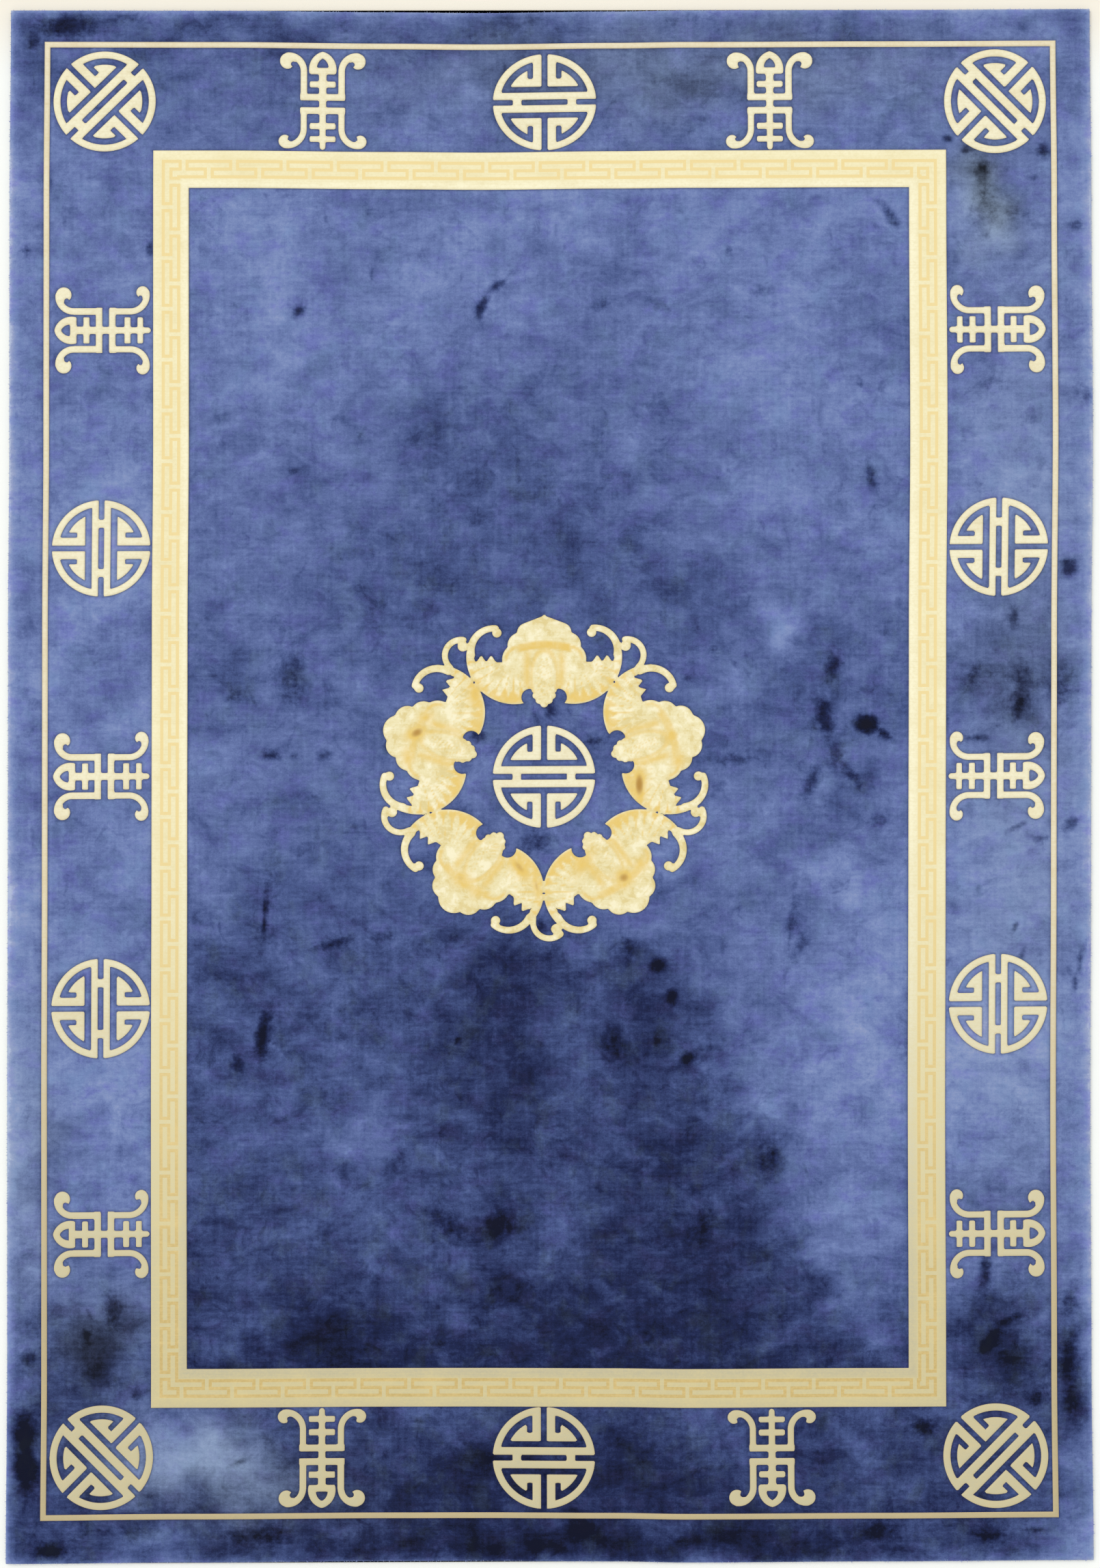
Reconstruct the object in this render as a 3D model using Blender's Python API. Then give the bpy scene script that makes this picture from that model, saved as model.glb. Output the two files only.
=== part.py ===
"""Chinese silk rug: one hand-knotted piece lying flat, as a single closed solid.

The underside lies on z = 0 with the rug's middle over the origin. X runs across the rug
and Y along it. All sizes are in metres.

The rug is knotted in one piece, a woven foundation with a clipped silk pile, so it is one
solid. The pile is carved with narrow furrows along the lines of the border, it is rounded
over at the rim, and the hand weaving makes its outline and its lines wander a little.
"""

import math
from collections import namedtuple

import bmesh
import bpy

# Overall size
RUG_WIDTH = 1.700
RUG_LENGTH = 2.434
FOUNDATION = 0.003
PILE = 0.007
THICKNESS = FOUNDATION + PILE

# Lines of the border, measured from the rug's middle
Lines = namedtuple("Lines", "left right bottom top")
GUARD_MIDDLE = Lines(left=-0.7915, right=0.7910, bottom=-1.1446, top=1.1627)
GUARD_WIDTH = 0.0120
BAND_OUTER = Lines(left=-0.6239, right=0.6216, bottom=-0.9738, top=0.9970)
BAND_INNER = Lines(left=-0.5678, right=0.5632, bottom=-0.9132, top=0.9385)

# Furrows carved in the pile beside those lines
FURROW_WIDTH = 0.005
FURROW_DEPTH = 0.0022

# Rim, from the flat of the pile down to the underside
RimStep = namedtuple("RimStep", "inset height")
PILE_SHOULDER = (
    RimStep(inset=0.0080, height=THICKNESS),
    RimStep(inset=0.0035, height=0.0094),
    RimStep(inset=0.0010, height=0.0078),
)
RIM_WALL = (
    RimStep(inset=0.0000, height=0.0052),
    RimStep(inset=0.0010, height=FOUNDATION),
    RimStep(inset=0.0016, height=0.0000),
)
CORNER_RADIUS = 0.006
CORNER_STEPS = 3

# Drift of the weave along each side: place is -1 at the left or bottom end of the side and
# 1 at its other end, shift is how far the rug wanders there, towards +X or +Y
Drift = namedtuple("Drift", "place shift")
LEFT_DRIFT = (
    Drift(place=-1.00, shift=-0.0036),
    Drift(place=-0.75, shift=-0.0014),
    Drift(place=-0.40, shift=-0.0014),
    Drift(place=-0.10, shift=-0.0005),
    Drift(place=0.20, shift=0.0000),
    Drift(place=0.45, shift=0.0020),
    Drift(place=0.75, shift=0.0024),
    Drift(place=1.00, shift=0.0046),
)
RIGHT_DRIFT = (
    Drift(place=-1.00, shift=0.0036),
    Drift(place=-0.75, shift=0.0002),
    Drift(place=-0.40, shift=-0.0016),
    Drift(place=-0.10, shift=-0.0006),
    Drift(place=0.20, shift=0.0001),
    Drift(place=0.45, shift=0.0024),
    Drift(place=0.75, shift=0.0000),
    Drift(place=1.00, shift=-0.0027),
)
BOTTOM_DRIFT = (
    Drift(place=-1.00, shift=-0.0035),
    Drift(place=-0.65, shift=-0.0009),
    Drift(place=-0.30, shift=0.0013),
    Drift(place=-0.13, shift=0.0016),
    Drift(place=0.12, shift=0.0006),
    Drift(place=0.25, shift=-0.0011),
    Drift(place=0.60, shift=0.0006),
    Drift(place=1.00, shift=0.0028),
)
TOP_DRIFT = (
    Drift(place=-1.00, shift=0.0013),
    Drift(place=-0.60, shift=0.0009),
    Drift(place=-0.30, shift=-0.0017),
    Drift(place=-0.13, shift=-0.0029),
    Drift(place=0.12, shift=-0.0004),
    Drift(place=0.25, shift=0.0011),
    Drift(place=0.60, shift=0.0020),
    Drift(place=1.00, shift=0.0035),
)

# Slow unevenness of the pile: wave lengths along X and Y, and how high each wave is
Wave = namedtuple("Wave", "length_x length_y turn height")
PILE_WAVES = (
    Wave(length_x=0.61, length_y=0.83, turn=0.4, height=0.00022),
    Wave(length_x=-0.47, length_y=0.55, turn=1.9, height=0.00014),
)

# Mesh fineness of the flat of the pile
CELLS_ACROSS = 14
CELLS_ALONG = 20
MERGE = 1e-6

# Finish
RUG_BLUE = (0.075, 0.110, 0.270, 1.0)
RUG_ROUGHNESS = 0.75


def clear_scene():
    """Removes what the start-up scene holds."""
    for thing in list(bpy.data.objects):
        bpy.data.objects.remove(thing, do_unlink=True)


def make_collection(name):
    """A collection of that name, linked to the scene."""
    collection = bpy.data.collections.new(name)
    bpy.context.scene.collection.children.link(collection)
    return collection


def silk_material():
    """The rug's deep blue, softly shining silk."""
    material = bpy.data.materials.new("blue_silk_pile")
    material.use_nodes = True
    shader = material.node_tree.nodes["Principled BSDF"]
    shader.inputs["Base Color"].default_value = RUG_BLUE
    shader.inputs["Roughness"].default_value = RUG_ROUGHNESS
    shader.inputs["Metallic"].default_value = 0.0
    return material


def drift_at(table, place):
    """Shift at a place along one side, eased between the table's rows."""
    place = min(max(place, table[0].place), table[-1].place)
    for lower, upper in zip(table, table[1:]):
        if place <= upper.place:
            part = (place - lower.place) / (upper.place - lower.place)
            ease = part * part * (3.0 - 2.0 * part)
            return lower.shift + (upper.shift - lower.shift) * ease
    return table[-1].shift


def woven_place(x, y):
    """Where a point of the straight drawing lies on the real, slightly drifting rug."""
    across = x / (RUG_WIDTH / 2)
    along = y / (RUG_LENGTH / 2)
    to_right = (across + 1.0) / 2.0
    to_top = (along + 1.0) / 2.0
    shift_x = drift_at(LEFT_DRIFT, along) * (1.0 - to_right) + drift_at(RIGHT_DRIFT, along) * to_right
    shift_y = drift_at(BOTTOM_DRIFT, across) * (1.0 - to_top) + drift_at(TOP_DRIFT, across) * to_top
    return x + shift_x, y + shift_y


def grown(lines, distance):
    """The same border lines, moved outwards by a distance."""
    return Lines(
        left=lines.left - distance,
        right=lines.right + distance,
        bottom=lines.bottom - distance,
        top=lines.top + distance,
    )


def furrow_frames():
    """The rectangles that the carved furrows follow."""
    return (
        grown(GUARD_MIDDLE, GUARD_WIDTH / 2 + FURROW_WIDTH / 2),
        grown(GUARD_MIDDLE, -GUARD_WIDTH / 2 - FURROW_WIDTH / 2),
        grown(BAND_OUTER, FURROW_WIDTH / 2),
        grown(BAND_INNER, -FURROW_WIDTH / 2),
    )


def outside_of(lines, x, y):
    """How far a point lies outside a rectangle, negative inside it, with mitred corners."""
    return max(lines.left - x, x - lines.right, lines.bottom - y, y - lines.top)


def furrow_drop(x, y):
    """How far the pile is carved down at a point."""
    half = FURROW_WIDTH / 2
    nearest = min(abs(outside_of(frame, x, y)) for frame in furrow_frames())
    return FURROW_DEPTH * max(0.0, 1.0 - nearest / half)


def shoulder_drop(x, y):
    """How far the rounded rim lies below the flat of the pile at a point."""
    rug = Lines(-RUG_WIDTH / 2, RUG_WIDTH / 2, -RUG_LENGTH / 2, RUG_LENGTH / 2)
    inset = -outside_of(rug, x, y)
    if inset >= PILE_SHOULDER[0].inset:
        return 0.0
    for inner, outer in zip(PILE_SHOULDER, PILE_SHOULDER[1:]):
        if inset >= outer.inset:
            part = (inset - outer.inset) / (inner.inset - outer.inset)
            return THICKNESS - (outer.height + (inner.height - outer.height) * part)
    return THICKNESS - PILE_SHOULDER[-1].height


def pile_height(x, y):
    """Height of the pile's surface at a point of the straight drawing."""
    waves = sum(
        wave.height * math.sin(math.tau * (x / wave.length_x + y / wave.length_y) + wave.turn)
        for wave in PILE_WAVES
    )
    return THICKNESS + waves - furrow_drop(x, y) - shoulder_drop(x, y)


def cut_lines():
    """Places across and along where the flat needs an edge: shoulder steps and furrows."""
    across = []
    along = []
    for step in PILE_SHOULDER[:-1]:
        across += [-RUG_WIDTH / 2 + step.inset, RUG_WIDTH / 2 - step.inset]
        along += [-RUG_LENGTH / 2 + step.inset, RUG_LENGTH / 2 - step.inset]
    for frame in furrow_frames():
        for side in (-FURROW_WIDTH / 2, 0.0, FURROW_WIDTH / 2):
            line = grown(frame, side)
            across += [line.left, line.right]
            along += [line.bottom, line.top]
    return across, along


def rim_edges(mesh):
    """The edges that still have only one face."""
    return [edge for edge in mesh.edges if len(edge.link_faces) == 1]


def pile_sheet(mesh):
    """The straight, flat sheet of the pile's surface, cut along all its lines."""
    inset = PILE_SHOULDER[-1].inset
    bmesh.ops.create_grid(mesh, x_segments=CELLS_ACROSS, y_segments=CELLS_ALONG, size=0.5)
    bmesh.ops.scale(mesh, verts=mesh.verts, vec=(RUG_WIDTH - 2 * inset, RUG_LENGTH - 2 * inset, 1.0))
    corners = [vertex for vertex in mesh.verts if len(vertex.link_faces) == 1]
    bmesh.ops.bevel(
        mesh,
        geom=corners,
        offset=CORNER_RADIUS,
        segments=CORNER_STEPS,
        profile=0.5,
        affect="VERTICES",
        material=-1,
    )
    across, along = cut_lines()
    for normal, places in (((1, 0, 0), across), ((0, 1, 0), along)):
        for place in places:
            everything = mesh.verts[:] + mesh.edges[:] + mesh.faces[:]
            spot = [place * part for part in normal]
            bmesh.ops.bisect_plane(mesh, geom=everything, dist=MERGE, plane_co=spot, plane_no=normal)


def shape_pile(mesh):
    """Raises the flat sheet to the pile's height."""
    for vertex in mesh.verts:
        vertex.co.z = pile_height(vertex.co.x, vertex.co.y)


def rim_walls(mesh):
    """Extrudes the sheet's edge down the rim, one ring for each step, and closes the underside."""
    ring_inset = PILE_SHOULDER[-1].inset
    for step in RIM_WALL:
        made = bmesh.ops.extrude_edge_only(mesh, edges=rim_edges(mesh))
        ring = [item for item in made["geom"] if isinstance(item, bmesh.types.BMVert)]
        widen_x = (RUG_WIDTH / 2 - step.inset) / (RUG_WIDTH / 2 - ring_inset)
        widen_y = (RUG_LENGTH / 2 - step.inset) / (RUG_LENGTH / 2 - ring_inset)
        bmesh.ops.scale(mesh, verts=ring, vec=(widen_x, widen_y, 1.0))
        for vertex in ring:
            vertex.co.z = step.height
        ring_inset = step.inset
    bmesh.ops.holes_fill(mesh, edges=rim_edges(mesh), sides=0)


def let_drift(mesh):
    """Moves the straight rug's points to where the hand weaving put them."""
    for vertex in mesh.verts:
        vertex.co.x, vertex.co.y = woven_place(vertex.co.x, vertex.co.y)


def make_rug(collection):
    """The rug's one solid."""
    mesh = bmesh.new()
    pile_sheet(mesh)
    shape_pile(mesh)
    rim_walls(mesh)
    let_drift(mesh)
    bmesh.ops.recalc_face_normals(mesh, faces=mesh.faces)
    data = bpy.data.meshes.new("rug")
    mesh.to_mesh(data)
    mesh.free()
    rug = bpy.data.objects.new("rug", data)
    rug.data.materials.append(silk_material())
    collection.objects.link(rug)
    return rug


def main():
    """Builds the rug in an empty scene."""
    clear_scene()
    make_rug(make_collection("chinese_silk_rug"))


main()
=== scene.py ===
"""Chinese silk rug: the looks of its knotted silk pile, its woven signs and its studio.

The rug lies flat with its middle over the origin, X across it and Y along it, in metres.
Its pile is built area by area in a straight drawing: a sheet is ruled into cells, cut along
the outlines of its signs, carved, closed into a solid and let drift as the weaving did.
"""

import logging
import math
import random
from collections.abc import Callable, Iterable, Sequence
from dataclasses import dataclass, field
from enum import Enum
from typing import NamedTuple

import bmesh
import bpy
import numpy as np
from mathutils import Matrix, Vector


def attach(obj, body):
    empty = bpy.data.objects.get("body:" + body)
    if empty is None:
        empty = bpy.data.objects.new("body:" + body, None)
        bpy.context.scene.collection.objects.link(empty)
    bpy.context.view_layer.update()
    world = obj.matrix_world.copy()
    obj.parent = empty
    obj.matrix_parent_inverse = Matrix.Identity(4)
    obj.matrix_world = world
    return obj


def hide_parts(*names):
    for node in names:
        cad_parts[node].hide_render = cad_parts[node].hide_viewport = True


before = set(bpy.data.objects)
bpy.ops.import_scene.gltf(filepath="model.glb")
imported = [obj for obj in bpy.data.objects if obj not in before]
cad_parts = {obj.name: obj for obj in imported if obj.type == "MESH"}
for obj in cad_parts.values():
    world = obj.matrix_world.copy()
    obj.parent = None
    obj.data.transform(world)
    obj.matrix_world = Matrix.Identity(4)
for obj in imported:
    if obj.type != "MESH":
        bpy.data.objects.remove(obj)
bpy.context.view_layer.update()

LOG = logging.getLogger("silk_rug")
BODY = "root"
NODE = "rug"
Array = np.ndarray
Outline = Callable[[Array, Array], Array]
Spot = tuple[float, float]
Tint = tuple[float, float, float]
Socket = bpy.types.NodeSocket


class Slot(Enum):
    """The record's material slots."""

    BLUE = "blue_silk_pile"
    CREAM = "cream_silk_pile"
    GOLD = "gold_silk_pile"
    CLOTH = "woven_foundation"


class Colour(Enum):
    """Which side of a carved colour edge an area of pile is on."""

    BLUE = "blue"
    CREAM = "cream"


class SignKind(Enum):
    """The border's longevity signs: the long one, and the round one as it differs by place."""

    ROUND = "round"
    CORNER = "corner"
    SIDE = "side"
    LONG = "long"


def smooth(start: float, end: float, values: Array) -> Array:
    """Eased steps from 0 at start to 1 at end.

    Args:
        start: The value that gives 0.
        end: The value that gives 1.
        values: The values to ease.

    Returns:
        The eased steps, from 0 to 1.
    """
    part = np.clip((values - start) / (end - start), 0.0, 1.0)
    return part * part * (3.0 - 2.0 * part)


@dataclass(frozen=True)
class Lines:
    """A rectangle of the straight drawing, by the places of its four sides."""

    left: float
    right: float
    bottom: float
    top: float

    def grown(self, by: float) -> "Lines":
        """The same rectangle with each side moved outwards by a distance."""
        return Lines(self.left - by, self.right + by, self.bottom - by, self.top + by)

    def outside(self, x: Array, y: Array) -> Array:
        """How far points lie outside the rectangle, negative inside, with mitred corners."""
        return np.maximum.reduce([self.left - x, x - self.right, self.bottom - y, y - self.top])


def turned(x: Array, y: Array, degrees: float) -> tuple[Array, Array]:
    """Places in a frame that is turned anticlockwise.

    Args:
        x: Places across.
        y: Places along.
        degrees: The frame's turn.

    Returns:
        The places across and along that frame.
    """
    turn = math.radians(degrees)
    return x * math.cos(turn) + y * math.sin(turn), y * math.cos(turn) - x * math.sin(turn)


class NapMark(NamedTuple):
    """A soft patch of another tone: its middle, half sizes, turn and strength."""

    x: float
    y: float
    wide: float
    long: float
    turn: float
    tone: float

    def strength(self, x: Array, y: Array, fall: float) -> Array:
        """How strong the patch is at each place.

        Args:
            x: Places across.
            y: Places along.
            fall: How fast it fades away from its middle.

        Returns:
            The patch's tone at its middle, falling to nothing outside it.
        """
        across, along = turned(x - self.x, y - self.y, self.turn)
        reach = np.hypot(across / self.wide, along / self.long)
        return self.tone * np.exp(-fall * reach**2)


def patches(*rows: tuple[float, ...]) -> tuple[NapMark, ...]:
    """Soft patches from rows of their middle and half sizes in millimetres, turn and strength.

    Args:
        *rows: One row for each patch.

    Returns:
        The patches in metres.
    """
    return tuple(NapMark(*[size / 1000 for size in row[:4]], *row[4:]) for row in rows)


@dataclass(frozen=True)
class Drift:
    """How far the weaving wandered along one side, whose places run from -1 to 1."""

    places: tuple[float, ...]
    shifts: tuple[float, ...]

    def at(self, place: Array) -> Array:
        """Shifts at places along the side, eased between the known ones.

        Args:
            place: The places, from -1 to 1.

        Returns:
            The shifts in metres.
        """
        places = np.array(self.places)
        shifts = np.array(self.shifts)
        held = np.clip(place, places[0], places[-1])
        after = np.clip(np.searchsorted(places, held), 1, len(places) - 1)
        ease = smooth(0.0, 1.0, (held - places[after - 1]) / (places[after] - places[after - 1]))
        return shifts[after - 1] + (shifts[after] - shifts[after - 1]) * ease


@dataclass(frozen=True)
class Weave:
    """The rug's size, its border lines and the drift of its hand weaving."""

    width: float = 1.700
    length: float = 2.434
    foundation: float = 0.003
    thickness: float = 0.010
    guard: Lines = Lines(left=-0.7915, right=0.7910, bottom=-1.1446, top=1.1627)
    guard_width: float = 0.0088
    band_outer: Lines = Lines(left=-0.6239, right=0.6216, bottom=-0.9738, top=0.9970)
    band_inner: Lines = Lines(left=-0.5678, right=0.5632, bottom=-0.9132, top=0.9385)
    left: Drift = Drift(
        (-1.00, -0.75, -0.40, -0.10, 0.20, 0.45, 0.75, 1.00),
        (-0.0036, -0.0014, -0.0014, -0.0005, 0.0000, 0.0020, 0.0024, 0.0046),
    )
    right: Drift = Drift(
        (-1.00, -0.75, -0.40, -0.10, 0.20, 0.45, 0.75, 1.00),
        (0.0036, 0.0002, -0.0016, -0.0006, 0.0001, 0.0024, 0.0000, -0.0027),
    )
    bottom: Drift = Drift(
        (-1.00, -0.65, -0.30, -0.13, 0.12, 0.25, 0.60, 1.00),
        (-0.0035, -0.0009, 0.0013, 0.0016, 0.0006, -0.0011, 0.0006, 0.0028),
    )
    top: Drift = Drift(
        (-1.00, -0.60, -0.30, -0.13, 0.12, 0.25, 0.60, 1.00),
        (0.0013, 0.0009, -0.0017, -0.0029, -0.0004, 0.0011, 0.0020, 0.0035),
    )

    @property
    def rim(self) -> Lines:
        """The rug's outline in the straight drawing."""
        return Lines(-self.width / 2, self.width / 2, -self.length / 2, self.length / 2)

    @property
    def guard_outer(self) -> Lines:
        """The outer edge of the guard line."""
        return self.guard.grown(self.guard_width / 2)

    @property
    def guard_inner(self) -> Lines:
        """The inner edge of the guard line."""
        return self.guard.grown(-self.guard_width / 2)

    def edges(self) -> tuple[Lines, ...]:
        """The straight edges between blue and cream pile."""
        return (self.guard_outer, self.guard_inner, self.band_outer, self.band_inner)

    def edge_reach(self, x: Array, y: Array) -> Array:
        """How far points lie from the nearest straight colour edge."""
        return np.minimum.reduce([np.abs(lines.outside(x, y)) for lines in self.edges()])

    def woven(self, x: Array, y: Array) -> tuple[Array, Array]:
        """Where points of the straight drawing lie on the real rug.

        Args:
            x: Places across the drawing.
            y: Places along the drawing.

        Returns:
            The places across and along on the drifting rug.
        """
        across = x / (self.width / 2)
        along = y / (self.length / 2)
        to_right = (across + 1.0) / 2.0
        to_top = (along + 1.0) / 2.0
        shift_x = self.left.at(along) * (1.0 - to_right) + self.right.at(along) * to_right
        shift_y = self.bottom.at(across) * (1.0 - to_top) + self.top.at(across) * to_top
        return x + shift_x, y + shift_y

    def drawn(self, x: float, y: float) -> tuple[float, float]:
        """Where a place on the real rug lies in the straight drawing."""
        moved_x, moved_y = self.woven(np.array([x]), np.array([y]))
        return 2 * x - float(moved_x[0]), 2 * y - float(moved_y[0])


class RimStep(NamedTuple):
    """One ring of the rim's profile: how far it lies inside the rug's edge, and its height."""

    inset: float
    height: float


class Wave(NamedTuple):
    """A slow unevenness of the pile: its lengths across and along, its turn and its height."""

    length_x: float
    length_y: float
    turn: float
    height: float


@dataclass(frozen=True)
class Relief:
    """The height of the clipped pile: its waves, its carved furrows and its worn edges."""

    waves: tuple[Wave, ...] = (
        Wave(0.61, 0.83, 0.4, 0.00022),
        Wave(-0.47, 0.55, 1.9, 0.00014),
        Wave(0.083, 0.21, 0.7, 0.00007),
        Wave(-0.19, 0.067, 2.3, 0.00006),
    )
    furrow_places: tuple[float, ...] = (0.0, 0.0014, 0.0030, 0.0050)
    furrow_drops: tuple[float, ...] = (0.0018, 0.0022, 0.0012, 0.0)
    edge_places: tuple[float, ...] = (0.0, 0.0012, 0.0030)
    edge_drops: tuple[float, ...] = (0.0011, 0.0004, 0.0)
    shoulder: tuple[RimStep, ...] = (
        RimStep(0.0010, 0.0078),
        RimStep(0.0020, 0.0087),
        RimStep(0.0035, 0.0094),
        RimStep(0.0052, 0.0098),
        RimStep(0.0080, 0.0100),
    )
    wall: tuple[RimStep, ...] = (
        RimStep(0.0002, 0.0065),
        RimStep(0.0000, 0.0052),
        RimStep(0.0004, 0.0040),
    )

    def rounded(self, inset: Array) -> Array:
        """How far the pile rounds down at places that lie inside the rug's edge."""
        insets, heights = zip(*self.shoulder)
        return heights[-1] - np.interp(inset, insets, heights)

    def flat(self, x: Array, y: Array) -> Array:
        """Height of the uncarved pile over the rug's mean thickness."""
        heights = [
            wave.height * np.sin(math.tau * (x / wave.length_x + y / wave.length_y) + wave.turn)
            for wave in self.waves
        ]
        return np.sum(heights, axis=0)

    def drop(self, reach: Array, colour: Colour) -> Array:
        """How deep the carving goes at a distance from the nearest colour edge.

        Args:
            reach: Distances from the edge, on the colour's own side of it.
            colour: The colour of that side.

        Returns:
            The drops in metres.
        """
        if colour is Colour.BLUE:
            return np.interp(reach, self.furrow_places, self.furrow_drops)
        return np.interp(reach, self.edge_places, self.edge_drops)


def box(x: Array, y: Array, area: Lines) -> Array:
    """Distance to an upright rectangle, negative inside.

    Args:
        x: Places across.
        y: Places along.
        area: The rectangle.

    Returns:
        The signed distances.
    """
    across = np.maximum(area.left - x, x - area.right)
    along = np.maximum(area.bottom - y, y - area.top)
    beyond = np.hypot(np.maximum(across, 0.0), np.maximum(along, 0.0))
    return beyond + np.minimum(np.maximum(across, along), 0.0)


def disc(x: Array, y: Array, centre: Spot, radius: float) -> Array:
    """Distance to a disc, negative inside."""
    return np.hypot(x - centre[0], y - centre[1]) - radius


def stroke(x: Array, y: Array, start: Spot, end: Spot, halves: Spot) -> Array:
    """Distance to a straight stroke with round ends, negative inside.

    Args:
        x: Places across.
        y: Places along.
        start: Where the stroke's middle line starts.
        end: Where it ends.
        halves: Half the stroke's width at its start and at its end.

    Returns:
        The signed distances.
    """
    run = np.array(end) - np.array(start)
    share = ((x - start[0]) * run[0] + (y - start[1]) * run[1]) / float(run @ run)
    share = np.clip(share, 0.0, 1.0)
    width = halves[0] + (halves[1] - halves[0]) * share
    return np.hypot(x - start[0] - run[0] * share, y - start[1] - run[1] * share) - width


@dataclass(frozen=True)
class Arc:
    """A curved stroke with round ends, which runs anticlockwise for a positive sweep."""

    centre: Spot
    radius: float
    start: float
    sweep: float
    halves: Spot

    def reach(self, x: Array, y: Array) -> Array:
        """Distances to the stroke, negative inside.

        Args:
            x: Places across.
            y: Places along.

        Returns:
            The signed distances.
        """
        side = math.copysign(1.0, self.sweep)
        length = abs(math.radians(self.sweep))
        angle = np.arctan2(y - self.centre[1], x - self.centre[0])
        turned = np.mod(side * (angle - math.radians(self.start)), math.tau)
        share = np.where(turned > (length + math.tau) / 2, 0.0, np.clip(turned / length, 0.0, 1.0))
        at = math.radians(self.start) + side * share * length
        near_x = self.centre[0] + self.radius * np.cos(at)
        near_y = self.centre[1] + self.radius * np.sin(at)
        width = self.halves[0] + (self.halves[1] - self.halves[0]) * share
        return np.hypot(x - near_x, y - near_y) - width


def union(*parts: Array) -> Array:
    """Distance to any of several forms."""
    return np.minimum.reduce(parts)


def within(*parts: Array) -> Array:
    """Distance to what several forms share."""
    return np.maximum.reduce(parts)


@dataclass(frozen=True)
class RoundSign:
    """The round longevity sign: a split ring, two linked bars and four hooked feet."""

    radius: float = 0.0803
    ring: float = 0.0108
    gap: float = 0.0047
    bar_top: float = 0.0166
    link_from: float = 0.0359
    link_to: float = 0.0491
    upright: float = 0.0178
    foot_low: float = 0.0262
    foot_radius: float = 0.0592
    foot_top: float = 0.0392
    hook_from: float = 0.0264

    def reach(self, x: Array, y: Array) -> Array:
        """Distances to the sign, with its bars lying across.

        Args:
            x: Places across.
            y: Places along.

        Returns:
            The signed distances, negative inside.
        """
        across = np.abs(x)
        along = np.abs(y)
        far = 2 * self.radius
        inside = disc(x, y, (0.0, 0.0), self.radius)
        hollow = disc(x, y, (0.0, 0.0), self.radius - self.ring)
        ring = within(inside, -hollow, self.gap - along, self.gap - across)
        bars = within(inside, box(across, along, Lines(-far, far, self.gap, self.bar_top)))
        links = box(across, along, Lines(self.link_from, self.link_to, -self.gap, self.bar_top))
        upright = box(across, along, Lines(self.gap, self.upright, self.foot_low, far))
        foot = within(
            disc(x, y, (0.0, 0.0), self.foot_radius),
            box(across, along, Lines(self.gap, far, self.foot_low, far)),
            union(self.hook_from - across, along - self.foot_top),
        )
        return union(ring, bars, links, within(inside, upright), foot)


@dataclass(frozen=True)
class LongSign:
    """The long longevity sign: a pointed head, a barred stem and four curled arms."""

    stem: float = 0.0060
    stem_point: float = 0.0045
    stem_end: float = -0.0663
    wide_bar: float = 0.0358
    wide_bar_top: float = 0.0154
    short_bar: float = 0.0206
    gap: float = 0.0053
    head_base: float = 0.0458
    head_width: float = 0.0217
    head_round: float = 0.0060
    head_swell: float = 0.0078
    hole_base: float = 0.0557
    hole_bend: float = -0.0067
    hole_radius: float = 0.0160
    arm: float = 0.0300
    arm_foot: float = 0.0110
    upper_half: float = 0.0051
    upper_bend: Spot = (0.0536, 0.0503)
    upper_ball: Spot = (0.0560, 0.0658)
    upper_notch: Spot = (0.0466, 0.0610)
    lower_half: float = 0.0048
    lower_bend: Spot = (0.0557, -0.0386)
    lower_ball: Spot = (0.0600, -0.0580)
    lower_notch: Spot = (0.0520, -0.0545)
    crossbars: tuple[tuple[float, float], ...] = (
        (0.0255, 0.0348),
        (-0.0389, -0.0296),
        (-0.0586, -0.0499),
    )

    def head(self, across: Array, y: Array) -> Array:
        """Distances to the pointed head with its drop-shaped hole.

        Args:
            across: Places to either side of the stem.
            y: Places along.

        Returns:
            The signed distances.
        """
        swell = (-self.head_round, self.head_base + self.head_swell)
        body = within(disc(across, y, swell, self.head_width + self.head_round), self.head_base - y)
        hole = disc(across, y, (self.hole_bend, self.hole_base), self.hole_radius)
        return within(body, -within(hole, self.hole_base - y))

    def arms(self, across: Array, y: Array) -> Array:
        """Distances to the arms above and below the wide bars, each curled up to a ball.

        Args:
            across: Places to either side of the stem.
            y: Places along.

        Returns:
            The signed distances.
        """
        upper = (self.upper_half, self.upper_half)
        lower = (self.lower_half, self.lower_half)
        above, below = self.upper_bend, self.lower_bend
        return union(
            stroke(across, y, (self.arm, self.arm_foot), (self.arm, above[1]), upper),
            Arc(above, above[0] - self.arm, 180.0, -95.0, upper).reach(across, y),
            within(disc(across, y, self.upper_ball, 0.0121), -disc(across, y, self.upper_notch, 0.0042)),
            stroke(across, y, (self.arm, -self.arm_foot), (self.arm, below[1]), lower),
            Arc(below, below[0] - self.arm, 180.0, 100.0, lower).reach(across, y),
            within(disc(across, y, self.lower_ball, 0.0098), -disc(across, y, self.lower_notch, 0.0034)),
        )

    def reach(self, x: Array, y: Array) -> Array:
        """Distances to the sign, with its head up.

        Args:
            x: Places across.
            y: Places along.

        Returns:
            The signed distances, negative inside.
        """
        across = np.abs(x)
        wide = box(across, np.abs(y), Lines(-1.0, self.wide_bar, self.gap, self.wide_bar_top))
        bars = [box(across, y, Lines(-1.0, self.short_bar, *ends)) for ends in self.crossbars]
        stem = stroke(x, y, (0.0, self.head_base), (0.0, self.stem_end), (self.stem, self.stem_point))
        base = box(across, y, Lines(-1.0, self.head_width - 0.0012, self.head_base, self.hole_base))
        return union(self.head(across, y), base, self.arms(across, y), wide, stem, *bars)


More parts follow.
